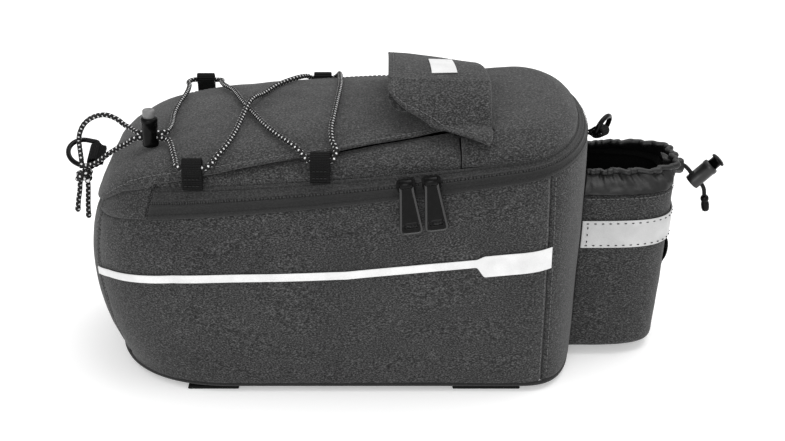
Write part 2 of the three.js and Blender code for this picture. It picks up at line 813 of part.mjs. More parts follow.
function rackStrap(name, x, width) {
  const outline = roundedOutline(width, STRAP_REACH, 3);
  return add(name, extruded(outline, STRAP_THICKNESS, 3).translate(x, 0, 0), "webbing");
}

// Zip sliders: a group whose X runs along the zip, Y up the band and Z out of it
function zipFrame(x) {
  const s = 1 + (x - FRONT_CENTRE) / (REAR_CENTRE - FRONT_CENTRE);
  const origin = bandPoint(s, 0.5, 0);
  const along = bandPoint(s + 0.05, 0.5, 0).sub(bandPoint(s - 0.05, 0.5, 0)).normalize();
  const up = bandPoint(s, 1, 0).sub(bandPoint(s, 0, 0)).normalize();
  const out = along.clone().cross(up).normalize();
  const across = out.clone().cross(along).normalize();
  const frame = new THREE.Group();
  frame.matrix.makeBasis(along, across, out).setPosition(origin);
  frame.matrixAutoUpdate = false;
  bag.add(frame);
  return frame;
}

function zipSlider(name, frame) {
  const lift = COIL_HEIGHT + GAP;
  const plate = extruded(roundedOutline(SLIDER_LENGTH, SLIDER_WIDTH, 2), SLIDER_THICKNESS, 4);
  let solid = solidOf(plate.translate(0, 0, lift));
  const top = BAR_HEIGHT + BAR_RADIUS;
  const postHeight = top - lift - SLIDER_THICKNESS / 2;
  for (const end of [-1, 1]) {
    const x = (end * (SLIDER_LENGTH - POST_LENGTH)) / 2;
    const post = block(POST_LENGTH, 3, postHeight, x, 0, top - postHeight / 2);
    solid = solid.add(solidOf(post));
  }
  const bar = new THREE.CylinderGeometry(BAR_RADIUS, BAR_RADIUS, SLIDER_LENGTH - POST_LENGTH, 12);
  solid = solid.add(solidOf(bar.rotateZ(QUARTER).translate(0, 0, BAR_HEIGHT)));
  return add(name, geometryOf(solid), "plastic", frame);
}

// A pull hangs from the slider's bar, straight down in front of the side panel.
function zipPull(name, frame) {
  const eye = BAR_RADIUS + PULL_EYE;
  const head = eye + 1.5;
  const halfTop = PULL_TOP / 2 - 0.35;
  const shape = new THREE.Shape();
  shape.moveTo(-halfTop, head);
  shape.lineTo(-halfTop, -4);
  shape.lineTo(-PULL_BOTTOM / 2, -PULL_LENGTH + 2);
  shape.quadraticCurveTo(-PULL_BOTTOM / 2, -PULL_LENGTH, -PULL_BOTTOM / 2 + 2, -PULL_LENGTH);
  shape.lineTo(PULL_BOTTOM / 2 - 2, -PULL_LENGTH);
  shape.quadraticCurveTo(PULL_BOTTOM / 2, -PULL_LENGTH, PULL_BOTTOM / 2, -PULL_LENGTH + 2);
  shape.lineTo(halfTop, -4);
  shape.lineTo(halfTop, head);
  const slot = roundedOutline(PULL_BOTTOM - 5, 2.2, 1);
  const hole = slot.getPoints(4).map((p) => new THREE.Vector2(p.x, p.y - PULL_LENGTH + 4.4));
  shape.holes.push(new THREE.Path(hole));
  let solid = solidOf(extruded(shape, PULL_THICKNESS, 4).translate(0, 0, -PULL_THICKNESS / 2));
  const sleeve = new THREE.CylinderGeometry(head, head, halfTop * 2, 12).rotateZ(QUARTER);
  solid = solid.add(solidOf(sleeve));
  const bore = new THREE.CylinderGeometry(eye, eye, PULL_TOP + 2, 12).rotateZ(QUARTER);
  const geometry = geometryOf(solid.subtract(solidOf(bore)));
  // The shape's plane is upright whatever the slider's tilt.
  const bar = new THREE.Vector3(0, 0, BAR_HEIGHT).applyMatrix4(frame.matrix);
  const along = new THREE.Vector3().setFromMatrixColumn(frame.matrix, 0);
  const down = new THREE.Vector3(0, 0, 1).addScaledVector(along, -along.z).normalize();
  down.applyAxisAngle(along, -PULL_LEAN * DEGREE);
  const out = along.clone().cross(down);
  const mesh = add(name, geometry, "plastic");
  mesh.matrix.makeBasis(along, down, out).setPosition(bar);
  mesh.matrixAutoUpdate = false;
  return mesh;
}

// Handle: an arch of webbing across the lid with a wrap folded round it
function acrossWrap(x) {
  return clamp(1 - (WRAP_FOLD_X - x) / WRAP_WIDTH, 0, 1);
}

function handleArch(x, y) {
  const across = acrossWrap(x);
  const top = -HANDLE_SLIP * across;
  const near = HANDLE_FOOT - HANDLE_SEWN;
  const far = near - HANDLE_DROOP * across;
  const share = clamp(y > top ? (y - top) / (far - top) : (top - y) / (near + top), 0, 1);
  const base = skinHeight(HANDLE_X, y) + TOP_RAISE + LAYER_GAP;
  const arch = (1 - share ** HANDLE_POWER) ** 0.9;
  return mix(base, skinHeight(HANDLE_X, 0) + TOP_RAISE + HANDLE_RISE, arch);
}

function handleWebbing() {
  const place = (y, v, depth) => {
    const x = HANDLE_X + (v - 0.5) * WEBBING_WIDTH;
    return new THREE.Vector3(x, y, handleArch(x, y) + WEBBING_THICKNESS * depth);
  };
  const geometry = clothBody(
    (y, v) => place(y, v, 1),
    (y, v) => place(y, v, 0),
    steps(-HANDLE_FOOT, HANDLE_FOOT, 34),
    [0, 1],
  );
  return add("handle_webbing", geometry, "webbing");
}

const WRAP_LOWER_END = 0.47; // share of the section at which its fold begins

// The wrap's section: a narrow C, open on the front side, drawn along the arch
function wrapSection(share) {
  const inner = WEBBING_THICKNESS / 2 + LAYER_GAP;
  const fold = WRAP_FOLD_X - inner - WRAP_CLOTH;
  const start = WRAP_FOLD_X - WRAP_WIDTH;
  const middle = inner + WRAP_CLOTH / 2;
  const bend = middle;
  const straight = fold - start;
  const arc = Math.PI * bend;
  const total = 2 * straight + arc;
  const at = share * total;
  if (at < straight) return { x: start + at, z: -middle, normalX: 0, normalZ: -1 };
  if (at < straight + arc) {
    const angle = -QUARTER + (at - straight) / bend;
    const x = Math.cos(angle);
    const z = Math.sin(angle);
    return { x: fold + bend * x, z: bend * z, normalX: x, normalZ: z };
  }
  return { x: fold - (at - straight - arc), z: middle, normalX: 0, normalZ: 1 };
}

function handleWrap() {
  const place = (v, y, depth) => {
    const row = wrapSection(v);
    const across = acrossWrap(row.x);
    const upper = smooth(clamp((v - WRAP_LOWER_END) / (1 - 2 * WRAP_LOWER_END), 0, 1));
    const longer = y < 0 ? WRAP_SKEW * upper : -WRAP_TRIM;
    const along = y * (1 + (longer / WRAP_REACH) * across);
    const centre = handleArch(row.x, along) + WEBBING_THICKNESS / 2;
    return new THREE.Vector3(
      row.x + row.normalX * depth * WRAP_CLOTH,
      along,
      centre + row.z + row.normalZ * depth * WRAP_CLOTH,
    );
  };
  const upperStart = 1 - WRAP_LOWER_END;
  const fold = steps(WRAP_LOWER_END, upperStart, 5).slice(1);
  const rows = [...steps(0, WRAP_LOWER_END, 6), ...fold, ...steps(upperStart, 1, 6).slice(1)];
  const geometry = clothBody(
    (v, y) => place(v, y, 0.5),
    (v, y) => place(v, y, -0.5),
    rows,
    steps(-WRAP_REACH, WRAP_REACH, 28),
  );
  return add("handle_wrap", geometry, "fabric");
}

function wrapLabel() {
  const lift = WEBBING_THICKNESS + LAYER_GAP + WRAP_CLOTH + GAP;
  const place = (y, v, depth) => {
    const x = LABEL_X + (v - 0.5) * LABEL_WIDTH;
    return new THREE.Vector3(x, y, handleArch(x, y) + lift + LABEL_CLOTH * depth);
  };
  const geometry = clothBody(
    (y, v) => place(y, v, 1),
    (y, v) => place(y, v, 0),
    steps(LABEL_MIDDLE - LABEL_LENGTH / 2, LABEL_MIDDLE + LABEL_LENGTH / 2, 8),
    [0, 1],
  );
  return add("wrap_label", geometry, "reflective");
}

// Lacing loops, sewn at the upper zip seam and leaning up over the lid's edge
function cordLoop({ name, x, side, lean: leanDegrees, lift: edgeLift }) {
  const lean = leanDegrees * DEGREE;
  const up = new THREE.Vector3(0, -side * Math.cos(lean), Math.sin(lean));
  const out = new THREE.Vector3(0, side * Math.sin(lean), Math.cos(lean));
  const across = up.clone().cross(out);
  const lift = TOP_RAISE + GAP + LOOP_CLOTH + LOOP_BORE / 2 + edgeLift;
  const origin = new THREE.Vector3(x, side * lidSize().half, upperSeamHeight(x));
  origin.addScaledVector(up, LOOP_LENGTH / 2 - 2).addScaledVector(out, lift);
  const geometry = webbingLoop(LOOP_LENGTH, LOOP_BORE, LOOP_CLOTH, LOOP_WIDTH);
  const mesh = add(name, geometry, "webbing");
  mesh.matrix.makeBasis(up, out, across).setPosition(origin);
  mesh.matrixAutoUpdate = false;
  return mesh;
}

// Bottle pocket: a deep U of cloth against the rear panel
function rearFaceX(y, z) {
  const size = wallSize(wallShare(3, z));
  const across = Math.abs(y) / size.half;
  return REAR_CENTRE + size.rear * (1 - across ** size.rearPower) ** (1 / size.rearPower);
}

// turn runs -1 at the near end of the U, 0 at the rear and 1 at its far end.
function pocketPoint(turn, z, depth, half = POCKET_HALF) {
  const share = clamp((z - POCKET_BASE) / (POCKET_TOP - POCKET_BASE), 0, 1);
  const reach = mix(POCKET_DEPTH_BASE, POCKET_DEPTH_TOP, share) - depth;
  const angle = turn * QUARTER;
  const radius = roundedReach(angle, reach, half - depth, POCKET_POWER);
  const y = radius * Math.sin(angle);
  return new THREE.Vector3(rearFaceX(y, z) + GAP + radius * Math.cos(angle), y, z);
}

function pocketWall() {
  const geometry = clothBody(
    (turn, z) => pocketPoint(turn, z, 0),
    (turn, z) => pocketPoint(turn, z, POCKET_CLOTH),
    steps(-1, 1, 22),
    steps(POCKET_BASE, POCKET_TOP, 3),
  );
  return add("pocket_wall", geometry, "fabric");
}

function pocketFloor() {
  const top = POCKET_BASE + POCKET_CLOTH;
  const shape = new THREE.Shape();
  const turns = steps(-0.97, 0.97, 18);
  turns.forEach((turn, i) => {
    const point = pocketPoint(turn, POCKET_BASE, POCKET_CLOTH + LAYER_GAP);
    if (i === 0) shape.moveTo(point.x, point.y);
    else shape.lineTo(point.x, point.y);
  });
  const half = pocketPoint(0.97, POCKET_BASE, POCKET_CLOTH + LAYER_GAP).y;
  for (const y of steps(half, -half, 4)) shape.lineTo(rearFaceX(y, top) + GAP, y);
  return add("pocket_floor", extruded(shape, POCKET_CLOTH).translate(0, 0, POCKET_BASE), "fabric");
}

// The collar's rim is drawn in by its cord and falls into gathers.
function pocketCollar() {
  const place = (turn, v, depth) => {
    const side = Math.sin(turn * QUARTER);
    const height = COLLAR_HEIGHT * (1 - 0.3 * Math.max(0, side));
    const ruffle = COLLAR_RUFFLE * v * Math.cos(turn * COLLAR_GATHERS * Math.PI) * (1 - turn ** 4);
    const half = POCKET_HALF - COLLAR_DRAW * smooth(v);
    return pocketPoint(turn, POCKET_TOP + GAP + height * v, depth - ruffle, half);
  };
  const geometry = clothBody(
    (turn, v) => place(turn, v, 0),
    (turn, v) => place(turn, v, COLLAR_CLOTH),
    steps(-1, 1, 40),
    [0, 0.5, 1],
  );
  return add("pocket_collar", geometry, "nylon");
}

function pocketBand() {
  const geometry = clothBody(
    (turn, z) => pocketPoint(turn, z, -LAYER_GAP - POCKET_BAND_CLOTH),
    (turn, z) => pocketPoint(turn, z, -LAYER_GAP),
    steps(-0.985, 0.985, 24),
    [POCKET_BAND_LOW, POCKET_BAND_HIGH],
  );
  return add("pocket_band", geometry, "reflective");
}

// A loop for a clip-on light, hanging from under the pocket's band
function lightLoop() {
  const top = pocketPoint(0, LIGHT_LOOP_TOP, 0);
  const foot = pocketPoint(0, LIGHT_LOOP_TOP - LIGHT_LOOP_LENGTH, 0);
  const down = foot.clone().sub(top).normalize();
  const across = new THREE.Vector3(0, 1, 0);
  const out = down.clone().cross(across);
  const origin = top.lerp(foot, 0.5).addScaledVector(out, GAP + LIGHT_LOOP_BORE / 2 + LOOP_CLOTH);
  const geometry = webbingLoop(LIGHT_LOOP_LENGTH, LIGHT_LOOP_BORE, LOOP_CLOTH, LIGHT_LOOP_WIDTH);
  const mesh = add("light_loop", geometry, "webbing");
  mesh.matrix.makeBasis(down, out, down.clone().cross(out)).setPosition(origin);
  mesh.matrixAutoUpdate = false;
  return mesh;
}

// Round pieces turned about Z
function turned(rows, segments) {
  return new THREE.LatheGeometry(rows.map(([x, y]) => new THREE.Vector2(x, y)), segments)
    .rotateX(QUARTER);
}

// A cord lock's barrel: a well for its sprung button and a slot for the cord
function lockBarrel(radius, height, slot, sides) {
  const well = BUTTON_RADIUS + BUTTON_CLEARANCE;
  const floor = height - BUTTON_STEM - BUTTON_TRAVEL - 0.5;
  const edge = 0.8;
  const rows = [
    [0, 0],
    [radius - edge, 0],
    [radius, edge],
    [radius, height - edge],
    [radius - edge, height],
    [well, height],
    [well, floor],
    [0, floor],
  ];
  return geometryOf(solidOf(turned(rows, sides)).subtract(solidOf(slot)));
}

function lockButton(height) {
  const rows = [
    [0, height - BUTTON_STEM],
    [BUTTON_RADIUS, height - BUTTON_STEM],
    [BUTTON_RADIUS, height + BUTTON_SHOWS - 0.6],
    [BUTTON_RADIUS - 0.6, height + BUTTON_SHOWS],
    [BUTTON_RADIUS * 0.6, height + BUTTON_SHOWS - BUTTON_DISH * 0.6],
    [0, height + BUTTON_SHOWS - BUTTON_DISH],
  ];
  return turned(rows, 16);
}

function toggle() {
  const group = new THREE.Group();
  const foot = [-1, 1].flatMap((end) => [
    skinHeight(TOGGLE_X + end * TOGGLE_RADIUS, TOGGLE_Y),
    skinHeight(TOGGLE_X, TOGGLE_Y + end * TOGGLE_RADIUS),
  ]);
  const seat = Math.max(...foot) + TOP_RAISE + GAP;
  group.position.set(TOGGLE_X, TOGGLE_Y, seat);
  bag.add(group);
  const slotMiddle = TOGGLE_SLOT_LOW + TOGGLE_SLOT_HEIGHT / 2;
  const slot = block(4 * TOGGLE_RADIUS, TOGGLE_SLOT_WIDTH, TOGGLE_SLOT_HEIGHT, 0, 0, slotMiddle);
  add("toggle_barrel", lockBarrel(TOGGLE_RADIUS, TOGGLE_HEIGHT, slot, 16), "plastic", group);
  add("toggle_button", lockButton(TOGGLE_HEIGHT), "button", group);
}

// D-rings, each on a short loop of webbing
function ringBar({ bar }, forward) {
  const [inward, y, z] = bar;
  return new THREE.Vector3(forward < 0 ? inward - HALF_LENGTH : HALF_LENGTH + inward, y, z);
}

function ringFrame(size, forward) {
  const { barRoll, barYaw, lean } = size;
  const across = new THREE.Vector3(0, 1, 0)
    .applyAxisAngle(new THREE.Vector3(1, 0, 0), barRoll * DEGREE)
    .applyAxisAngle(new THREE.Vector3(0, 0, 1), -barYaw * DEGREE);
  const out = new THREE.Vector3(forward * Math.cos(lean * DEGREE), 0, Math.sin(lean * DEGREE));
  out.addScaledVector(across, -out.dot(across)).normalize();
  const frame = new THREE.Group();
  frame.matrix.makeBasis(across, out, across.clone().cross(out)).setPosition(ringBar(size, forward));
  frame.matrixAutoUpdate = false;
  bag.add(frame);
  return frame;
}

// The ring's bar lies on the frame's X axis and its bow reaches along Y.
function dRing(name, size, frame) {
  const bend = Math.min(size.width / 2, size.depth * 0.6);
  const shape = dOutline(size.width, size.depth, bend, RING_WIRE / 2);
  const inside = size.width - 2 * RING_WIRE;
  const hole = dOutline(inside, size.depth - RING_WIRE, bend - RING_WIRE, -RING_WIRE / 2);
  shape.holes.push(hole);
  const geometry = extruded(shape, RING_THICKNESS, 6).translate(0, 0, -RING_THICKNESS / 2);
  return add(name, geometry, "plastic", frame);
}

function dOutline(width, depth, bend, below) {
  const x = width / 2;
  const corner = 0.8;
  const top = depth - RING_WIRE / 2;
  const shape = new THREE.Shape();
  shape.moveTo(-x + corner, -below);
  shape.lineTo(x - corner, -below);
  shape.lineTo(x, -below + corner);
  shape.lineTo(x, top - bend);
  shape.absellipse(0, top - bend, x, bend, 0, Math.PI);
  shape.lineTo(-x, -below + corner);
  return shape;
}

function ringTab(name, size, frame, forward) {
  const lift = RING_BORE / 2 + RING_CLOTH;
  const geometry = webbingLoop(size.tabLength, RING_BORE, RING_CLOTH, size.tabWidth);
  const mesh = add(name, geometry, "webbing");
  const across = new THREE.Vector3().setFromMatrixColumn(frame.matrix, 0);
  const back = new THREE.Vector3(-forward, 0, 0);
  back.addScaledVector(across, -back.dot(across)).normalize();
  const origin = ringBar(size, forward).addScaledVector(back, size.tabLength / 2 - lift);
  mesh.matrix.makeBasis(back, across.clone().cross(back), across).setPosition(origin);
  mesh.matrixAutoUpdate = false;
  return mesh;
}

// Cords: tubes along routes chosen by hand
function cordTube(name, route, diameter, paint) {
  const curve = new THREE.CatmullRomCurve3(route.map(([x, y, z]) => new THREE.Vector3(x, y, z)));
  const section = new THREE.Shape();
  for (let i = 0; i < CORD_SIDES; i++) {
    const angle = (2 * Math.PI * i) / CORD_SIDES;
    const x = (diameter / 2) * Math.cos(angle);
    const y = (diameter / 2) * Math.sin(angle);
    if (i === 0) section.moveTo(x, y);
    else section.lineTo(x, y);
  }
  const count = Math.min(CORD_STEPS, Math.ceil(curve.getLength() / (2.5 * diameter)));
  const options = { steps: Math.max(6, count), bevelEnabled: false, extrudePath: curve };
  return add(name, new THREE.ExtrudeGeometry(section, options), paint);
}

// The drawcord leaves the collar's hem through a short tunnel and ends below its cord lock.
function collarTunnel() {
  const start = DRAWCORD_ROUTE[0];
  const bore = DRAWCORD_DIAMETER / 2 + HOLE_CLEARANCE;
  const rows = [
    [bore, 0],
    [TUNNEL_RADIUS, 0],
    [TUNNEL_RADIUS * TUNNEL_SWELL, TUNNEL_LENGTH * 0.5],
    [TUNNEL_RADIUS, TUNNEL_LENGTH],
    [bore, TUNNEL_LENGTH],
    [bore, 0],
  ];
  const geometry = turned(rows, 14).rotateY(QUARTER);
  geometry.translate(start[0] - TUNNEL_BACK, start[1], start[2]);
  return add("collar_tunnel", geometry, "nylon");
}

function pocketLock() {
  const group = new THREE.Group();
  group.position.set(...LOCK_PLACE);
  group.rotation.y = (90 - LOCK_LEAN) * DEGREE;
  bag.add(group);
  const foot = new THREE.Group();
  foot.position.z = -LOCK_HOLE_AT;
  group.add(foot);
  const radius = DRAWCORD_DIAMETER / 2 + HOLE_CLEARANCE;
  const hole = new THREE.CylinderGeometry(radius, radius, 4 * LOCK_RADIUS, 12);
  hole.rotateZ(QUARTER).translate(0, 0, LOCK_HOLE_AT);
  add("lock_barrel", lockBarrel(LOCK_RADIUS, LOCK_LENGTH, hole, 16), "nylon", foot);
  add("lock_button", lockButton(LOCK_LENGTH), "plastic", foot);
}

function bungeeKnot() {
  const r = KNOT_RADIUS;
  const rows = [
    [0, 0],
    [r * 0.8, 0],
    [r, KNOT_HEIGHT * 0.3],
    [r, KNOT_HEIGHT * 0.7],
    [r * 0.8, KNOT_HEIGHT],
    [0, KNOT_HEIGHT],
  ];
  return add("bungee_knot", turned(rows, 14).translate(...KNOT_PLACE), "cord");
}

function drawcordEnd() {
  const last = DRAWCORD_ROUTE[DRAWCORD_ROUTE.length - 1];
  const before = DRAWCORD_ROUTE[DRAWCORD_ROUTE.length - 2];
  const down = new THREE.Vector3(...last).sub(new THREE.Vector3(...before)).normalize();
  const r = CORD_END_RADIUS;
  const rows = [
    [0, GAP],
    [r * 0.75, GAP],
    [r, 1.5],
    [r, CORD_END_LENGTH - 1.5],
    [r * 0.7, CORD_END_LENGTH],
    [0, CORD_END_LENGTH],
  ];
  const mesh = add("drawcord_end", turned(rows, 12), "cord");
  mesh.quaternion.setFromUnitVectors(new THREE.Vector3(0, 0, 1), down);
  mesh.position.set(...last);
  return mesh;
}

basePanel();
wallPanel("side_panel_near", FRONT_SEAM_S, REAR_SEAM_S, 20);
wallPanel("side_panel_far", 6 - REAR_SEAM_S, 6 - FRONT_SEAM_S, 20);
wallPanel("front_end_panel", -FRONT_SEAM_S, FRONT_SEAM_S, 8);
wallPanel("rear_end_panel", REAR_SEAM_S, 6 - REAR_SEAM_S, 20);
zipBand();
lidStrip("front_gusset_near", GUSSET_S, stepAlong(ZIP_END_S, -GAP), 10, GAP / 15);
lidStrip("front_gusset_far", stepAlong(6 - ZIP_END_S, GAP), 6 - GUSSET_S, 10, GAP / 15);
const sideLow = 1 + GAP / (BAG_WIDTH / 2);
lidStrip("lid_side_near", stepAlong(ZIP_END_S, GAP), stepAlong(LID_SEAM_S, -GAP), 18, sideLow);
lidStrip("lid_side_far", stepAlong(6 - LID_SEAM_S, GAP), stepAlong(6 - ZIP_END_S, -GAP), 18, sideLow);
lidTopPanel();
lidRearPanel();
sideStripe();
rackStrap("rack_strap_front", STRAP_FRONT_X, STRAP_FRONT_WIDTH);
rackStrap("rack_strap_rear", STRAP_REAR_X, STRAP_REAR_WIDTH);
const leftFrame = zipFrame(SLIDER_LEFT_X);
const rightFrame = zipFrame(SLIDER_RIGHT_X);
zipSlider("slider_left", leftFrame);
zipSlider("slider_right", rightFrame);
zipPull("pull_left", leftFrame);
zipPull("pull_right", rightFrame);
handleWebbing();
handleWrap();
wrapLabel();
for (const place of LOOP_PLACES) cordLoop(place);
pocketWall();
pocketFloor();
pocketCollar();
pocketBand();
lightLoop();
toggle();
const frontRing = ringFrame(FRONT_RING, -1);
dRing("front_d_ring", FRONT_RING, frontRing);
ringTab("front_ring_tab", FRONT_RING, frontRing, -1);
const rearRing = ringFrame(REAR_RING, 1);
dRing("rear_d_ring", REAR_RING, rearRing);
ringTab("rear_ring_tab", REAR_RING, rearRing, 1);
cordTube("bungee_cord", BUNGEE_ROUTE, CORD_DIAMETER, "cord");
TAIL_ROUTES.forEach((route, i) => cordTube(`bungee_tail_${i + 1}`, route, CORD_DIAMETER, "cord"));
bungeeKnot();
collarTunnel();
cordTube("drawcord", DRAWCORD_ROUTE, DRAWCORD_DIAMETER, "cord");
pocketLock();
drawcordEnd();

// The bag stands with the middle of its base at the origin. Its free cords don't count.
const CORD_PIECES = /^(bungee|toggle|drawcord|lock)/;
const bounds = new THREE.Box3();
bag.updateMatrixWorld(true);
bag.traverse((piece) => {
  if (piece.isMesh && !CORD_PIECES.test(piece.name)) bounds.expandByObject(piece, true);
});
const middle = bounds.getCenter(new THREE.Vector3());
bag.position.set(-middle.x, -middle.y, -bounds.min.z);

export default bag;
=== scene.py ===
import math
from collections import namedtuple

import bpy
from mathutils import Matrix, Vector, noise


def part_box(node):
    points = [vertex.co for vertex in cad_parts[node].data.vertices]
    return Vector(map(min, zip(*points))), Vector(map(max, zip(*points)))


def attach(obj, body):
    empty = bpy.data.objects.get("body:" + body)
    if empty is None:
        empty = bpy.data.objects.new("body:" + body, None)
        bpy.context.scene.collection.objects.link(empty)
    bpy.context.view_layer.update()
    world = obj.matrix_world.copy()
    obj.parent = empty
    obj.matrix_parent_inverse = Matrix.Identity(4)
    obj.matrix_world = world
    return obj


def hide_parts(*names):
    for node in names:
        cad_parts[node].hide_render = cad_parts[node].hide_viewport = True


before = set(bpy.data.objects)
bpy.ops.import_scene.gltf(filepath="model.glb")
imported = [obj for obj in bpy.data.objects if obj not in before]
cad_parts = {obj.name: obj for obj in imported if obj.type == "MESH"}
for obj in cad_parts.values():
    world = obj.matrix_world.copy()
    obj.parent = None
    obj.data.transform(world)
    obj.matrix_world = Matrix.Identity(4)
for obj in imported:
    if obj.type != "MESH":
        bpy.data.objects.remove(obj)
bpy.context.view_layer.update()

# A bag for a bicycle's rear rack. Sizes below are in millimetres, in the part's own frame.
MM = 0.001
STRAP_FRONT_X = -75.0
strap_low, strap_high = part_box("rack_strap_front")
SHIFT = Vector((
    (strap_low[0] + strap_high[0]) / 2 - STRAP_FRONT_X * MM,
    (strap_low[1] + strap_high[1]) / 2,
    0.0,
))
QUARTER = math.pi / 2

# Body
HALF_LENGTH = 153.5
FRONT_ROUND = 93.5
REAR_ROUND = 44.5
FRONT_CENTRE = FRONT_ROUND - HALF_LENGTH
REAR_CENTRE = HALF_LENGTH - REAR_ROUND
HALF_WIDTH = 83.5
BELLY_SHARE = 0.6
BASE_ROUND = 6.0
BASE_LIFT = 2.5
WALL_FOOT = BASE_LIFT + BASE_ROUND
WALL = 4.0
CLOTH = 2.0
LAYER_GAP = 0.8
UNSEWN = 99.0  # distance to a seam, where there is none
TOP_RAISE = LAYER_GAP + CLOTH

# Zip line and lid
BAND_INSET = 7.6
NOSE_INSET = 3.0
BAND_SLANT = 15.3
BAND_HEIGHT = 13.3
BAND_TAPER = 4.9
SEAM_HEIGHT = 124.0
SEAM_RISE = 17.0
SEAM_BOW = 6.4
NOSE_DROP = 12.0
LID_CROWN = 16.5
LID_POWER = 2.6
FRONT_FALL = 0.72
REAR_FALL = 0.6
LID_SEAM_X = 73.0
ZIP_CLOTH = 1.5
TOOTH_PITCH = 1.5
UNDERLAP = 7.0

# Places along the outline: 0 is the front's centre, 1 and 2 end the near side's straight stretch,
# 3 is the rear's centre and 6 the front's again.
FRONT_SEAM_S = 0.35
GUSSET_S = 0.27
REAR_SEAM_S = 2.13
ZIP_END_S = 0.65
LID_CORNER_S = 0.35
LID_SEAM_S = 1 + (LID_SEAM_X - FRONT_CENTRE) / (REAR_CENTRE - FRONT_CENTRE)

# Edge of the lid's top panel: place along the outline, share up the zip band
TOP_EDGE = [
    (0.0, 0.04), (0.2, 0.08), (0.35, 0.34), (0.5, 0.8), (0.65, 1.0),
    (1.0, 1.05), (1.355, 1.15), (1.716, 1.32), (2.0, 1.42),
]
# Centre line of the side stripe: place along the outline, height over the ground
STRIPE_LINE = [
    (0.27, 65.7), (0.45, 72.5), (0.75, 78.1), (1.15, 80.0), (1.4, 81.2), (1.7, 86.8), (2.13, 93.6),
]
STRIPE_THIN = 5.0
STRIPE_WIDE = 13.5
STRIPE_STEP_X = 82.0
STRIPE_CLOTH = 0.8

# Handle
HANDLE_X = 79.0
WEBBING_WIDTH = 20.0
WEBBING = 1.6
HANDLE_FOOT = 63.0
HANDLE_RISE = 17.0
HANDLE_SEWN = 7.0
HANDLE_SLIP = 16.0
HANDLE_DROOP = 26.0
HANDLE_POWER = 2.4
HANDLE_SOFT = 0.9
WRAP_FOLD_X = 91.5
WRAP_WIDTH = 60.0
WRAP_CLOTH = 1.6
WRAP_REACH = 44.0
WRAP_SKEW = 30.0
WRAP_TRIM = 20.0
WRAP_CORNER = 12.0
WRAP_TURN = 0.47  # share of the wrap's section where the fold starts
WRAP_LEAN = 7.0
LABEL_X = 64.0
LABEL_WIDTH = 15.0
LABEL_LENGTH = 25.0
LABEL_MIDDLE = -8.0
LABEL_CLOTH = 0.6

# Lacing loops: name, x, side, lean in degrees, lift over the lid's edge
LOOP_PLACES = [
    ("cord_loop_near_1", -79.5, -1, 52.0, 2.2),
    ("cord_loop_near_2", -7.0, -1, 41.0, 0.4),
    ("cord_loop_far_1", -90.0, 1, 52.0, 2.8),
    ("cord_loop_far_2", -12.0, 1, 41.0, 0.4),
]
LOOP_LENGTH = 16.6
LOOP_WIDTH = 11.5
LOOP_CLOTH = 1.1
LOOP_BEND = 2.65

# Bottle pocket
POCKET_HALF = 38.0
POCKET_REACH_LOW = 55.0
POCKET_REACH_HIGH = 56.0
POCKET_POWER = 4
POCKET_BASE = 7.0
POCKET_TOP = 110.5
POCKET_CLOTH = 2.2
COLLAR_HEIGHT = 12.5
COLLAR_DRAW = 11.0
COLLAR_CLOTH = 1.6
COLLAR_FOLDS = 11
COLLAR_CREASES = 27
BAND_LOW = 77.0
BAND_HIGH = 95.0

# Rack straps: name, x, width
RACK_STRAPS = [("rack_strap_front", STRAP_FRONT_X, 31.0), ("rack_strap_rear", 91.0, 41.0)]
STRAP_REACH = 78.0
STRAP_CLOTH = 2.2

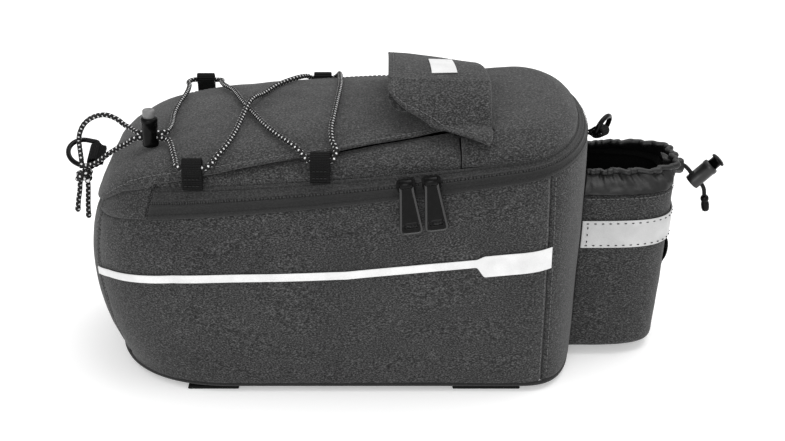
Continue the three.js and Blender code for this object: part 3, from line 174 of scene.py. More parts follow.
# Cords
CORD_DIAMETER = 3.1
DRAWCORD_DIAMETER = 2.6
BUNGEE_ROUTE = [
    (-153.4, -22.3, 123.6), (-150.8, -22.8, 124.6), (-147.4, -23.6, 125.8),
    (-142.5, -24.8, 129), (-137.3, -26, 133.3), (-131.1, -28.5, 138),
    (-123.3, -32, 143.2), (-119.6, -34.6, 146.6), (-115.4, -36, 147.9),
    (-109, -36, 147.7), (-103, -36, 147.7), (-98.4, -38, 147.5),
    (-95.2, -46, 147), (-92.4, -57, 146.2), (-90, -66, 145.4),
    (-88.8, -72, 145.4), (-86.4, -75, 145.4), (-79.5, -75.3, 145.4),
    (-71.6, -75.2, 145.3), (-68.4, -72, 146.8), (-66.4, -67, 148.5),
    (-62.6, -58, 150.6), (-58.8, -41.5, 152.8), (-55.8, -18, 155.4),
    (-53.4, -3.5, 158), (-50.9, 7, 157.8), (-47.4, 18, 155.6),
    (-38.4, 39.5, 154.8), (-27, 57, 153.3), (-22, 67, 150.6),
    (-18.9, 71.2, 147.9), (-12, 71.5, 147.7), (-5.1, 71.2, 147.9),
    (-1.6, 67, 151.6), (-0.6, 60, 154.9), (0.4, 50, 156.9),
    (1.4, 27, 158.8), (0.5, -1, 159.3), (-0.6, -25, 158.8),
    (-1.6, -46, 157), (-0.6, -58, 154.8), (1.8, -66.4, 152.2),
    (-0.1, -71.2, 148.3), (-7, -71.5, 148.1), (-13.9, -71.2, 148.3),
    (-18, -66.6, 151.2), (-23.4, -60.4, 153.4), (-38.2, -39, 154.9),
    (-49, -14.4, 154.6), (-54, -2, 154.2), (-59.6, 13, 153.7),
    (-66.6, 34, 152.2), (-75.4, 53.6, 149.4), (-78.4, 64.6, 147.7),
    (-79, 71.6, 146.2), (-81.8, 75.7, 145), (-90, 75.8, 145.1),
    (-98.4, 75.8, 145), (-101, 71.4, 145.2), (-99.4, 62, 145.8),
    (-98.8, 44, 146.8), (-100.4, 26, 147), (-101, 6, 147),
    (-99.4, -12, 148.2), (-98.8, -26, 149.6), (-99.6, -33.4, 150.7),
    (-102.8, -36.2, 151.1), (-109, -36.2, 151.2), (-115.2, -36.2, 151.1),
    (-118.4, -32.6, 150.9), (-121.8, -28.2, 151), (-126.1, -24, 151.4),
    (-131.4, -20, 153.7), (-139.1, -16, 154.8), (-147.5, -13, 152),
    (-153.4, -11, 147), (-156.8, -9.5, 141), (-158.1, -8.9, 136),
    (-157.6, -11, 132.8), (-156.2, -16, 129.4), (-155, -20.4, 126.6),
    (-154.8, -21.9, 122.5),
]
TAIL_ROUTES = [
    [(-156.6, -21.8, 113.9), (-157.6, -21.6, 108), (-159.1, -21.5, 101.1), (-160.3, -21.5, 93.6)],
    [(-152.2, -22, 113.9), (-152.6, -22, 106), (-153.4, -22, 98), (-153.8, -22, 89.6)],
]
DRAWCORD_ROUTE = [
    (211, -5, 117.4), (215, -5, 117.2), (218, -5, 114.6), (220.5, -5, 111.5),
    (223.5, -5, 108.5), (226.5, -5, 105.5), (228.8, -5, 101.6), (229.6, -5, 97),
]
DRAWCORD_START = (208.8, -5, 117.4)  # inside the collar's hem
LOCK_POINT = 4  # the point of the route on which the cord lock sits
KNOT_CENTRE = Vector((-154.0, -21.8, 118.0))


# Camera
CAMERA_AT = Vector((34.0, -778.15, 443.17))
CAMERA_TARGET = Vector((34.0, 0.0, 77.0))
CAMERA_LENS = 61.9


def metres(point):
    return Vector(point) * MM + SHIFT


def make_camera():
    data = bpy.data.cameras.new("camera")
    data.lens = CAMERA_LENS
    data.sensor_width = 36.0
    camera = bpy.data.objects.new("camera", data)
    camera.location = metres(CAMERA_AT)
    aim = CAMERA_TARGET - CAMERA_AT
    camera.rotation_euler = aim.to_track_quat("-Z", "Y").to_euler()
    bpy.context.scene.collection.objects.link(camera)
    bpy.context.scene.camera = camera


make_camera()


# Small maths
def mix(a, b, share):
    return a + (b - a) * share


def clamp(value, low=0.0, high=1.0):
    return min(high, max(low, value))


def smooth(share):
    return share * share * (3 - 2 * share)


def read_table(rows, at):
    if at <= rows[0][0]:
        return rows[0][1]
    for (a, low), (b, high) in zip(rows, rows[1:]):
        if at <= b:
            return mix(low, high, (at - a) / (b - a))
    return rows[-1][1]


def steps(low, high, count):
    return [mix(low, high, i / count) for i in range(count + 1)]


def edged(low, high, count, rim):
    """Even steps with three more near each end, where a hem turns round. rim is in the same unit."""
    turn = [0.0, 0.13 * rim, 0.5 * rim]
    start = [low + t for t in turn]
    end = [high - t for t in reversed(turn)]
    return start + steps(low + rim, high - rim, count) + end


def bell(distance, width):
    """1 at a line, falling off on both sides of it."""
    return math.exp(-((distance / width) ** 2))


def fade(distance, width):
    """1 at an edge, falling off slowly away from it."""
    return math.exp(-distance / width)


def run_lengths(points):
    """Distance of each point along a row."""
    total = [0.0]
    for a, b in zip(points, points[1:]):
        total.append(total[-1] + (b - a).length)
    return total


def wander(point, size, seed=0.0):
    """Smooth noise from -1 to 1 with swells of about the given size."""
    return noise.noise(Vector(point) / size + Vector((seed, seed * 0.7, -seed)))


# The part's surfaces
Size = namedtuple("Size", "front rear half front_power rear_power")


def wall_size(share):
    low = max(0.0, 1 - share / BELLY_SHARE) ** 2
    high = max(0.0, (share - BELLY_SHARE) / (1 - BELLY_SHARE)) ** 2
    return Size(
        FRONT_ROUND - 13 * low - 7 * high,
        REAR_ROUND - 7 * (1 - share),
        HALF_WIDTH - 2.5 * low - 1.5 * high,
        mix(2.35, 3.0, share),
        mix(2.9, 2.15, share),
    )


TOP_SIZE = wall_size(1.0)
LID_SIZE = Size(
    TOP_SIZE.front - BAND_INSET - NOSE_INSET,
    TOP_SIZE.rear - BAND_INSET,
    TOP_SIZE.half - BAND_INSET,
    TOP_SIZE.front_power,
    TOP_SIZE.rear_power,
)


def rounded_reach(angle, along, across, power):
    a = abs(math.cos(angle) / along) ** power
    b = abs(math.sin(angle) / across) ** power
    return (a + b) ** (-1 / power)


def plan_point(place, size):
    s = place - 6 if place > 3 else place
    t = abs(s)
    side = 1 if s < 0 else -1
    if t < 1:
        angle = t * QUARTER
        reach = rounded_reach(angle, size.front, size.half, size.front_power)
        return Vector((FRONT_CENTRE - reach * math.cos(angle), side * reach * math.sin(angle)))
    if t < 2:
        return Vector((mix(FRONT_CENTRE, REAR_CENTRE, t - 1), side * size.half))
    angle = (3 - t) * QUARTER
    reach = rounded_reach(angle, size.rear, size.half, size.rear_power)
    return Vector((REAR_CENTRE + reach * math.cos(angle), side * reach * math.sin(angle)))


def plan_inward(s, size):
    along = (plan_point(s + 0.01, size) - plan_point(s - 0.01, size)).normalized()
    return Vector((-along.y, along.x))


def step_along(s, distance):
    step = 0.005
    speed = (plan_point(s + step, TOP_SIZE) - plan_point(s - step, TOP_SIZE)).length / (2 * step)
    return s + distance / speed


def lower_seam(x):
    q = x / HALF_LENGTH
    nose = max(0.0, (FRONT_CENTRE - x) / FRONT_ROUND)
    return SEAM_HEIGHT + SEAM_RISE * q + SEAM_BOW * q * q - NOSE_DROP * nose ** 3


def upper_seam(x):
    return lower_seam(x) + BAND_HEIGHT - BAND_TAPER * x / HALF_LENGTH


def outline_share(x, y, size):
    across = abs(y) / size.half
    if x < FRONT_CENTRE:
        along = (FRONT_CENTRE - x) / size.front
        return (along ** size.front_power + across ** size.front_power) ** (1 / size.front_power)
    if x > REAR_CENTRE:
        along = (x - REAR_CENTRE) / size.rear
        return (along ** size.rear_power + across ** size.rear_power) ** (1 / size.rear_power)
    return across


def skin_height(x, y):
    inner = outline_share(x, y, LID_SIZE)
    if inner < 1:
        q = x / HALF_LENGTH
        crown = LID_CROWN * (1 - (FRONT_FALL if q < 0 else REAR_FALL) * q * q)
        return upper_seam(x) + crown * (1 - inner ** LID_POWER) ** (1 / LID_POWER)
    outer = min(1.0, outline_share(x, y, TOP_SIZE))
    share = (1 - outer) / (inner - outer + 1e-9)
    return mix(lower_seam(x), upper_seam(x), share)


def skin_normal(x, y):
    step = 1.5
    slope_x = (skin_height(x + step, y) - skin_height(x - step, y)) / (2 * step)
    slope_y = (skin_height(x, y + step) - skin_height(x, y - step)) / (2 * step)
    keep = min(1.0, 2.0 / max(1e-9, math.hypot(slope_x, slope_y)))
    return Vector((-slope_x * keep, -slope_y * keep, 1.0)).normalized()


def on_skin(plan, offset):
    point = Vector((plan.x, plan.y, skin_height(plan.x, plan.y)))
    return point + skin_normal(plan.x, plan.y) * offset


def wall_point(s, height, depth=0.0):
    size = wall_size(max(0.0, height))
    top = lower_seam(plan_point(s, TOP_SIZE).x)
    turn = (1 + height) * QUARTER if height < 0 else QUARTER
    inset = BASE_ROUND * (1 - math.sin(turn)) + depth * math.sin(turn)
    lift = BASE_ROUND * (1 - math.cos(turn)) + depth * math.cos(turn)
    plan = plan_point(s, size) + plan_inward(s, size) * inset
    z = BASE_LIFT + lift if height < 0 else mix(WALL_FOOT, top, height)
    return Vector((plan.x, plan.y, z))


def wall_share(s, z):
    top = lower_seam(plan_point(s, TOP_SIZE).x)
    return clamp((z - WALL_FOOT) / (top - WALL_FOOT))


def band_point(s, t, depth=0.0):
    low = plan_point(s, TOP_SIZE)
    high = plan_point(s, LID_SIZE)
    plan = low.lerp(high, min(1.0, t))
    z = mix(lower_seam(low.x), upper_seam(high.x), min(1.0, t))
    if t > 1:
        centre = Vector((clamp(high.x, FRONT_CENTRE, REAR_CENTRE), 0.0))
        plan = high.lerp(centre, t - 1)
        z = skin_height(plan.x, plan.y)
    dip = math.radians(40 * t if t < 1 else 40 + 40 * clamp((t - 1) / 0.4))
    plan = plan + plan_inward(s, LID_SIZE) * depth * math.cos(dip)
    return Vector((plan.x, plan.y, z - depth * math.sin(dip)))


def top_edge(s):
    return read_table(TOP_EDGE, 6 - s if s > 3 else abs(s))


def underlap_edge(s):
    edge = top_edge(s)
    return edge + UNDERLAP / (BAND_SLANT if edge < 1 else 2 * HALF_WIDTH)


def rear_face_x(y, z):
    size = wall_size(wall_share(3.0, z))
    across = abs(y) / size.half
    return REAR_CENTRE + size.rear * (1 - across ** size.rear_power) ** (1 / size.rear_power)


def pocket_point(turn, z, depth=0.0, half=POCKET_HALF):
    share = clamp((z - POCKET_BASE) / (POCKET_TOP - POCKET_BASE))
    angle = turn * QUARTER
    reach = mix(POCKET_REACH_LOW, POCKET_REACH_HIGH, share)
    radius = rounded_reach(angle, reach - depth, half - depth, POCKET_POWER)
    y = radius * math.sin(angle)
    return Vector((rear_face_x(y, z) + 0.3 + radius * math.cos(angle), y, z))


def across_wrap(x):
    """0 at the free edge of the handle's wrap and 1 at its fold."""
    return clamp(1 - (WRAP_FOLD_X - x) / WRAP_WIDTH)


def handle_arch(x, y):
    """Height of the handle's arch, which droops on its far side, most so under the wrap's fold."""
    top = -HANDLE_SLIP * across_wrap(x)
    near = HANDLE_FOOT - HANDLE_SEWN
    far = near - HANDLE_DROOP * across_wrap(x)
    share = clamp((y - top) / (far - top)) if y > top else clamp((top - y) / (near + top))
    low = skin_height(HANDLE_X, y) + TOP_RAISE + LAYER_GAP
    high = skin_height(HANDLE_X, 0) + TOP_RAISE + HANDLE_RISE
    return mix(low, high, (1 - share ** HANDLE_POWER) ** HANDLE_SOFT)


# Materials
def colour(level, warm=0.0):
    """A near-grey from its brightness on a screen, 0 to 255."""
    def linear(value):
        share = value / 255
        return share / 12.92 if share < 0.04045 else ((share + 0.055) / 1.055) ** 2.4
    return (linear(level + warm), linear(level), linear(level - warm), 1.0)


class Shader:
    def __init__(self, name, roughness, specular=0.3):
        self.material = bpy.data.materials.new(name)
        self.material.use_nodes = True
        self.tree = self.material.node_tree
        self.surface = self.tree.nodes["Principled BSDF"]
        self.surface.inputs["Roughness"].default_value = roughness
        self.surface.inputs["Specular IOR Level"].default_value = specular

    def node(self, kind, **settings):
        made = self.tree.nodes.new(kind)
        for key, value in settings.items():
            setattr(made, key, value)
        return made

    def link(self, source, target):
        self.tree.links.new(source, target)

    def place(self, stretch=(1, 1, 1)):
        source = self.node("ShaderNodeTexCoord")
        scale = self.node("ShaderNodeMapping")
        scale.inputs["Scale"].default_value = stretch
        self.link(source.outputs["Object"], scale.inputs["Vector"])
        return scale.outputs["Vector"]

    def noise(self, size, detail=2.0, rough=0.6, stretch=(1, 1, 1)):
        """size is that of the grain, in millimetres."""
        made = self.node("ShaderNodeTexNoise")
        made.inputs["Scale"].default_value = 1 / (size * MM)
        made.inputs["Detail"].default_value = detail
        made.inputs["Roughness"].default_value = rough
        self.link(self.place(stretch), made.inputs["Vector"])
        return made.outputs["Fac"]

    def cells(self, size):
        made = self.node("ShaderNodeTexVoronoi")
        made.inputs["Scale"].default_value = 1 / (size * MM)
        self.link(self.place(), made.inputs["Vector"])
        return made.outputs["Distance"]

    def ramp(self, value, stops):
        made = self.node("ShaderNodeValToRGB")
        while len(made.color_ramp.elements) < len(stops):
            made.color_ramp.elements.new(0.5)
        for element, (at, shade) in zip(made.color_ramp.elements, stops):
            element.position = at
            element.color = shade
        self.link(value, made.inputs["Fac"])
        return made.outputs["Color"]

    def tones(self, value, level, darker, lighter, low=0.3, high=0.7):
        return self.ramp(value, [(low, colour(level - darker)), (high, colour(level + lighter))])

    def blend(self, a, b, share, mode="MIX"):
        made = self.node("ShaderNodeMix", data_type="RGBA", blend_type=mode)
        self.feed(made.inputs[0], share)
        self.feed(made.inputs[6], a)
        self.feed(made.inputs[7], b)
        return made.outputs[2]

    def feed(self, socket, value):
        if isinstance(value, bpy.types.NodeSocket):
            self.link(value, socket)
        else:
            socket.default_value = value

    def maths(self, operation, a, b=0.0):
        made = self.node("ShaderNodeMath", operation=operation)
        self.feed(made.inputs[0], a)
        self.feed(made.inputs[1], b)
        return made.outputs[0]

    def along(self):
        """Millimetres along and across a piece, from its own map."""
        source = self.node("ShaderNodeUVMap", uv_map="cloth")
        split = self.node("ShaderNodeSeparateXYZ")
        self.link(source.outputs["UV"], split.inputs[0])
        return split.outputs[0], split.outputs[1]

    def wave(self, value, period):
        return self.maths("SINE", self.maths("MULTIPLY", value, 2 * math.pi / period))

    def bump(self, height, depth, strength=0.6, after=None):
        made = self.node("ShaderNodeBump")
        made.inputs["Strength"].default_value = strength
        made.inputs["Distance"].default_value = depth * MM
        self.link(height, made.inputs["Height"])
        if after:
            self.link(after, made.inputs["Normal"])
        return made.outputs["Normal"]

    def finish(self, shade, normal=None):
        self.feed(self.surface.inputs["Base Color"], shade)
        if normal:
            self.link(normal, self.surface.inputs["Normal"])
        return self.material


def heather_fabric(name, level, spread=26, grain=0.85, roughness=0.93, sheen=0.12):
    """Woven polyester of mixed dark and light yarns."""
    shader = Shader(name, roughness, 0.18)
    shader.surface.inputs["Sheen Weight"].default_value = sheen
    shader.surface.inputs["Sheen Roughness"].default_value = 0.6
    fine = shader.noise(grain, 2.0, 0.65, (0.7, 0.7, 1.25))
    base = shader.ramp(fine, [
        (0.3, colour(level - spread * 0.7)),
        (0.46, colour(level - spread * 0.1)),
        (0.6, colour(level + spread * 0.5)),
        (0.75, colour(level + spread * 1.1)),
    ])
    slow = shader.noise(38, 2.0, 0.5)
    tone = shader.ramp(slow, [(0.3, (0.86, 0.86, 0.87, 1)), (0.7, (1.1, 1.1, 1.1, 1))])
    shade = shader.blend(base, tone, 1.0, "MULTIPLY")
    threads = shader.bump(shader.cells(0.75), 0.16, 0.5)
    return shader.finish(shade, shader.bump(fine, 0.22, 0.55, threads))


def nylon_cloth(name, level):
    """Thin glossy nylon, as used to line bags, crumpled."""
    shader = Shader(name, 0.4, 0.35)
    slow = shader.noise(9, 3.0, 0.55)
    shade = shader.tones(slow, level, 8, 9)
    crease = shader.bump(slow, 1.4, 0.5)
    return shader.finish(shade, shader.bump(shader.cells(0.55), 0.1, 0.35, crease))


def ribbed_webbing(name, level, period=1.5):
    """Webbing with ribs across its length."""
    shader = Shader(name, 0.8, 0.15)
    along, across = shader.along()
    ribs = shader.wave(along, period)
    yarns = shader.wave(across, 0.9)
    height = shader.maths("ADD", ribs, shader.maths("MULTIPLY", yarns, 0.35))
    grain = shader.noise(0.7)
    shade = shader.blend(
        shader.tones(shader.maths("MULTIPLY_ADD", ribs, 0.5), level, 9, 12, 0.0, 0.5),
        shader.tones(grain, level, 6, 14, 0.35),
        0.5,
    )
    return shader.finish(shade, shader.bump(height, 0.4, 0.9))


def reflective_cloth(name, level):
    shader = Shader(name, 0.42, 0.4)
    beads = shader.noise(0.5, 1.0)
    slow = shader.noise(16, 2.0)
    base = shader.tones(slow, level, 12, 6)
    dirt = shader.ramp(beads, [(0.3, (0.93, 0.93, 0.93, 1)), (0.6, (1, 1, 1, 1))])
    return shader.finish(shader.blend(base, dirt, 1.0, "MULTIPLY"), shader.bump(beads, 0.08, 0.3))


def moulded_plastic(name, level, roughness, grain=0.1, specular=0.5):
    shader = Shader(name, roughness, specular)
    scuffs = shader.noise(3.5, 4.0, 0.7)
    shade = shader.ramp(scuffs, [(0.35, colour(max(2, level - 4))), (0.75, colour(level + 6))])
    gloss = shader.node("ShaderNodeMapRange")
    gloss.inputs["To Min"].default_value = roughness - 0.06
    gloss.inputs["To Max"].default_value = roughness + 0.12
    shader.link(scuffs, gloss.inputs["Value"])
    shader.link(gloss.outputs["Result"], shader.surface.inputs["Roughness"])
    return shader.finish(shade, shader.bump(shader.noise(0.4), grain, 0.25))


def braided_cord(name, level, fleck, turns, pitch, share):
    """Braid with light tracer yarns that cross round it."""
    shader = Shader(name, 0.75, 0.3)
    along, around = shader.along()
    run = shader.maths("DIVIDE", along, pitch)
    twist = shader.maths("MULTIPLY", around, turns)
    left = shader.maths("FRACT", shader.maths("ADD", run, twist))
    right = shader.maths("FRACT", shader.maths("SUBTRACT", run, twist))
    tracers = [shader.maths("LESS_THAN", way, share) for way in (left, right)]
    both = shader.maths("MULTIPLY", *tracers)
    yarns = shader.maths("MULTIPLY", *[shader.wave(way, 0.25) for way in (left, right)])
    dark = shader.tones(shader.noise(0.6), level, 8, 12)
    shade = shader.blend(dark, colour(fleck), both)
    return shader.finish(shade, shader.bump(yarns, 0.25, 0.6))


def sewing_thread(name, level):
    shader = Shader(name, 0.6, 0.3)
    twist = shader.noise(0.35)
    return shader.finish(shader.tones(twist, level, 10, 12), shader.bump(twist, 0.08, 0.5))


def studio_floor(name):
    shader = Shader(name, 0.8, 0.1)
    slow = shader.noise(400, 2.0)
    shader.surface.inputs["Emission Color"].default_value = (1, 1, 1, 1)
    shader.surface.inputs["Emission Strength"].default_value = 0.3
    return shader.finish(shader.ramp(slow, [(0.3, (0.88, 0.88, 0.88, 1)), (0.7, (0.9, 0.9, 0.9, 1))]))


FABRIC = heather_fabric("shell_fabric", 41, 52, 0.78)
TAPE = heather_fabric("zip_tape", 40, 28, 0.7)
TAPE_DARK = heather_fabric("zip_tape_dark", 30, 12, 0.7, 0.8)
# Painted shade: a near-black colour for the inner faces of the bottle pocket and its collar, standing in for
# the shade inside the pocket
POCKET_INSIDE_SHADE = heather_fabric("pocket_inside_painted_shade", 8, 6, 0.8, 0.9, 0.0)
NYLON = nylon_cloth("collar_nylon", 20)
WEB = ribbed_webbing("webbing", 13)
WEB_FINE = ribbed_webbing("webbing_fine", 12, 1.25)
BRIGHT = reflective_cloth("reflective_tape", 222)
BRIGHT_BAND = reflective_cloth("reflective_band", 188)
BLACK = moulded_plastic("black_plastic", 5, 0.2, specular=0.12)
RIM = moulded_plastic("pull_rim", 15, 0.14, 0.02, 0.6)
COIL = moulded_plastic("zip_coil", 40, 0.35)
SILVER = moulded_plastic("grey_plastic", 112, 0.38)
LOCK = moulded_plastic("lock_plastic", 26, 0.3, specular=0.4)
CORD = braided_cord("cord", 12, 225, 2, 3.3, 0.38)
CORD_PLAIN = braided_cord("cord_plain", 12, 32, 2, 3.3, 0.3)
THREAD = sewing_thread("thread", 92)
THREAD_DARK = sewing_thread("thread_dark", 18)

# Materials of each slot
SLOTS = {
    "shell_fabric": [FABRIC, THREAD, THREAD_DARK],
    "zip_tape": [TAPE, TAPE_DARK],
    "collar_nylon": [NYLON],
    "webbing": [WEB, WEB_FINE],
    "reflective_tape": [BRIGHT, BRIGHT_BAND],
    "black_plastic": [BLACK, RIM, COIL],
    "grey_plastic": [SILVER],
    "lock_plastic": [LOCK],
    "cord": [CORD, CORD_PLAIN],
}


# Meshes
class Shape:
    """Points in millimetres and faces, each face with the places of its corners on the map."""

    def __init__(self):
        self.points = []
        self.faces = []
        self.maps = []
        self.slots = []

    def face(self, corners, places=None, slot=0):
        self.faces.append(corners)
        self.maps.append(places or [(0.0, 0.0)] * len(corners))
        self.slots.append(slot)

    def join(self, other):
        start = len(self.points)
        self.points += other.points
        self.faces += [[start + i for i in face] for face in other.faces]
        self.maps += other.maps
        self.slots += other.slots

    def turned(self, rows, sides):
        """Rings of corners round Z, from rows of (radius, height). A ring may be a single point."""
        rings = []
        for radius, height in rows:
            start = len(self.points)
            if radius < 1e-6:
                rings.append([start] * sides)
                self.points.append(Vector((0, 0, height)))
                continue
            rings.append([start + k for k in range(sides)])
            for k in range(sides):
                angle = 2 * math.pi * k / sides
                self.points.append(Vector((radius * math.cos(angle), radius * math.sin(angle), height)))
        return rings

    def band(self, low, high, left_open=()):
        """Faces between two rings of corners, apart from the sides that are left open."""
        sides = len(low)
        for k in range(sides):
            if k in left_open:
                continue
            after = (k + 1) % sides
            corners = []
            for corner in (low[k], low[after], high[after], high[k]):
                if corner not in corners:
                    corners.append(corner)
            if len(corners) > 2:
                self.face(corners)

    def stack(self, sides):
        """Faces between rings of corners that were added one after another."""
        count = len(self.points) // sides
        rings = [[i * sides + k for k in range(sides)] for i in range(count)]
        for low, high in zip(rings, rings[1:]):
            self.band(low, high)
        return rings

    def volume(self):
        total = 0.0
        for face in self.faces:
            a = self.points[face[0]]
            for b, c in zip(face[1:], face[2:]):
                total += a.dot(self.points[b].cross(self.points[c]))
        return total / 6

    def facing_out(self):
        if self.volume() < 0:
            self.faces = [list(reversed(face)) for face in self.faces]
            self.maps = [list(reversed(places)) for places in self.maps]
        return self

    def moved(self, matrix):
        self.points = [matrix @ point for point in self.points]
        return self.facing_out()


def add_piece(name, shape, materials, stands_for=(), body="bag", slot=None):
    materials = materials if isinstance(materials, (list, tuple)) else [materials]
    mesh = bpy.data.meshes.new(name)
    mesh.from_pydata([metres(point) for point in shape.points], [], shape.faces)
    layer = mesh.uv_layers.new(name="cloth")
    flat = [value for places in shape.maps for place in places for value in place]
    layer.data.foreach_set("uv", flat)
    mesh.polygons.foreach_set("use_smooth", [True] * len(mesh.polygons))
    mesh.polygons.foreach_set("material_index", shape.slots)
    for material in materials:
        mesh.materials.append(material)
    piece = bpy.data.objects.new(name, mesh)
    bpy.context.scene.collection.objects.link(piece)
    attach(piece, body)
    slot or next(key for key, members in SLOTS.items() if materials[0] in members)
    if stands_for:
        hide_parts(*stands_for)
    return piece


def stand_in(node, kind, shape, materials, body="bag", slot=None):
    """The piece that takes a solid's place, named after it."""
    return add_piece(f"{node}_{kind}", shape, materials, [node], body, slot)


def grid_normals(grid, ring):
    count_u, count_v = len(grid), len(grid[0])
    normals = []
    for i in range(count_u):
        row = []
        after = (i + 1) % count_u if ring else min(count_u - 1, i + 1)
        before = i - 1 if ring else max(0, i - 1)
        for j in range(count_v):
            along = grid[after][j] - grid[before][j]
            across = grid[i][min(count_v - 1, j + 1)] - grid[i][max(0, j - 1)]
            normal = along.cross(across)
            row.append(normal.normalized() if normal.length > 1e-12 else Vector((0, 0, 1)))
        normals.append(row)
    return normals


def outward_normals(grid, ring, inside):
    """Normals of a grid that point away from inside, or along its own turn where that is None."""
    normals = grid_normals(grid, ring)
    if inside is None:
        return normals
    facing = sum((p - inside).dot(n) for ps, ns in zip(grid, normals) for p, n in zip(ps, ns))
    return [[-n for n in row] for row in normals] if facing < 0 else normals


def cloth(surface, us, vs, thick, inside=None, relief=None, ring=False, rim=None, slot_at=None, inside_painted_shade=0):
    """A sheet with turned edges. surface(u, v) is its outer face, seen from the point inside, or its
    middle where inside is None. relief(u, v, edge_u, edge_v, point) lifts it, in millimetres, and
    the last argument is added to the material slot of its inner face, for the painted shade inside a pocket."""
    count_u = len(us) - 1 if ring else len(us)
    count_v = len(vs)
    grid = [[surface(u, v) for v in vs] for u in us[:count_u]]
    normals = outward_normals(grid, ring, inside)
    runs_v = [run_lengths(row) for row in grid]
    runs_u = [run_lengths([row[j] for row in grid]) for j in range(count_v)]
    rim = rim or thick / 2
    shape = Shape()
    index = {}
    offset = 0.0 if inside is None else thick / 2
    for i in range(count_u):
        for j in range(count_v):
            edge_v = min(runs_v[i][j], runs_v[i][-1] - runs_v[i][j])
            edge_u = min(runs_u[j][i], runs_u[j][-1] - runs_u[j][i])
            edge = edge_v if ring else min(edge_u, edge_v)
            point, normal = grid[i][j], normals[i][j]
            lift = relief(us[i], vs[j], edge_u, edge_v, point) if relief else 0.0
            middle = point + normal * (lift - offset)
            half = thick / 2 * math.sqrt(1 - (1 - clamp(edge / rim)) ** 2)
            index[0, i, j] = len(shape.points)
            if edge < 1e-6:
                shape.points.append(middle)
                index[1, i, j] = index[0, i, j]
                continue
            shape.points.append(middle + normal * half)
            index[1, i, j] = len(shape.points)
            shape.points.append(middle - normal * half)
    spans = count_u if ring else count_u - 1
    for i in range(spans):
        after = (i + 1) % count_u
        for j in range(count_v - 1):
            corners = [(i, j), (after, j), (after, j + 1), (i, j + 1)]
            places = [(runs_u[b][a], runs_v[a][b]) for a, b in corners]
            kind = slot_at(us[i], vs[j]) if slot_at else 0
            top = [index[0, a, b] for a, b in corners]
            low = [index[1, a, b] for a, b in corners]
            shape.face(top, places, kind)
            shape.face(list(reversed(low)), list(reversed(places)), kind + inside_painted_shade)
    return shape.facing_out()


def smooth_path(route, step, closed=False):
    """Points about a step apart on the smooth curve through a route."""
    points = [Vector(p) for p in route]
    count = len(points)
    if closed:
        ends = [points[-1]] + points + points[:2]
    else:
        ends = [points[0] * 2 - points[1]] + points + [points[-1] * 2 - points[-2]]
    made = []
    for i in range(count if closed else count - 1):
        p0, p1, p2, p3 = ends[i:i + 4]
        t1 = max(1e-4, (p1 - p0).length ** 0.5)
        t2 = t1 + max(1e-4, (p2 - p1).length ** 0.5)
        t3 = t2 + max(1e-4, (p3 - p2).length ** 0.5)
        parts = max(1, math.ceil((p2 - p1).length / step))
        for k in range(parts):
            t = mix(t1, t2, k / parts)
            a1 = p0 * ((t1 - t) / t1) + p1 * (t / t1)
            a2 = p1 * ((t2 - t) / (t2 - t1)) + p2 * ((t - t1) / (t2 - t1))
            a3 = p2 * ((t3 - t) / (t3 - t2)) + p3 * ((t - t2) / (t3 - t2))
            b1 = a1 * ((t2 - t) / t2) + a2 * (t / t2)
            b2 = a2 * ((t3 - t) / (t3 - t1)) + a3 * ((t - t1) / (t3 - t1))
            made.append(b1 * ((t2 - t) / (t2 - t1)) + b2 * ((t - t1) / (t2 - t1)))
    if not closed:
        made.append(points[-1].copy())
    return made


def path_frames(path, closed):
    """Two directions across a path at each of its points, and the twist left over in a closed one."""
    count = len(path)
    tangents = []
    for i in range(count):
        after = path[(i + 1) % count] if closed else path[min(count - 1, i + 1)]
        before = path[i - 1] if closed else path[max(0, i - 1)]
        tangents.append((after - before).normalized())
    side = tangents[0].orthogonal().normalized()
    frames = []
    for tangent in tangents:
        side = (side - tangent * side.dot(tangent)).normalized()
        frames.append((side.copy(), tangent.cross(side)))
    twist = 0.0
    if closed:
        last = (frames[-1][0] - tangents[0] * frames[-1][0].dot(tangents[0])).normalized()
        twist = math.atan2(last.dot(frames[0][1]), last.dot(frames[0][0]))
    return frames, twist


def tube(path, radius, sides=12, closed=False, radii=None):
    """A round tube along a path. radii gives its radius as shares, one for each point."""
    count = len(path)
    shape = Shape()
    frames, twist = path_frames(path, closed)
    runs = run_lengths(path + ([path[0]] if closed else []))
    for i, point in enumerate(path):
        r = radius * (radii[i] if radii else 1.0)
        turn = -twist * i / count
        for k in range(sides):
            angle = 2 * math.pi * k / sides + turn
            first, second = frames[i]
            shape.points.append(point + first * r * math.cos(angle) + second * r * math.sin(angle))
    for i in range(count if closed else count - 1):
        after = (i + 1) % count
        for k in range(sides):
            l = (k + 1) % sides
            shape.face(
                [i * sides + k, i * sides + l, after * sides + l, after * sides + k],
                [(runs[i], k / sides), (runs[i], (k + 1) / sides),
                 (runs[i + 1], (k + 1) / sides), (runs[i + 1], k / sides)],
            )
    if not closed:
        for start, end in ((0, 0), ((count - 1) * sides, count - 1)):
            middle = len(shape.points)
            shape.points.append(path[end].copy())
            for k in range(sides):
                corners = [start + k, start + (k + 1) % sides, middle]
                if end == 0:
                    corners.reverse()
                shape.face(corners)
    return shape.facing_out()


def lathe(rows, sides=40):
    """A round piece turned about Z. rows are (radius, height), closed by points on the axis."""
    shape = Shape()
    rings = shape.turned(rows, sides)
    for low, high in zip(rings, rings[1:]):
        shape.band(low, high)
    return shape.facing_out()


def area_of(shape):
    """Area of one side of a sheet, in square metres."""
    total = 0.0
    for face in shape.faces:
        a = shape.points[face[0]]
        for b, c in zip(face[1:], face[2:]):
            total += (shape.points[b] - a).cross(shape.points[c] - a).length / 2
    return total / 2 * MM * MM


def declare_sheet(piece, shape, length):
    """Works out the area of one side of a sheet; nothing is done with it. Its cut length in millimetres is
    not used.
    """
    area = area_of(shape)


def add_sheet(node, kind, shape, materials, length):
    declare_sheet(stand_in(node, kind, shape, materials), shape, length)


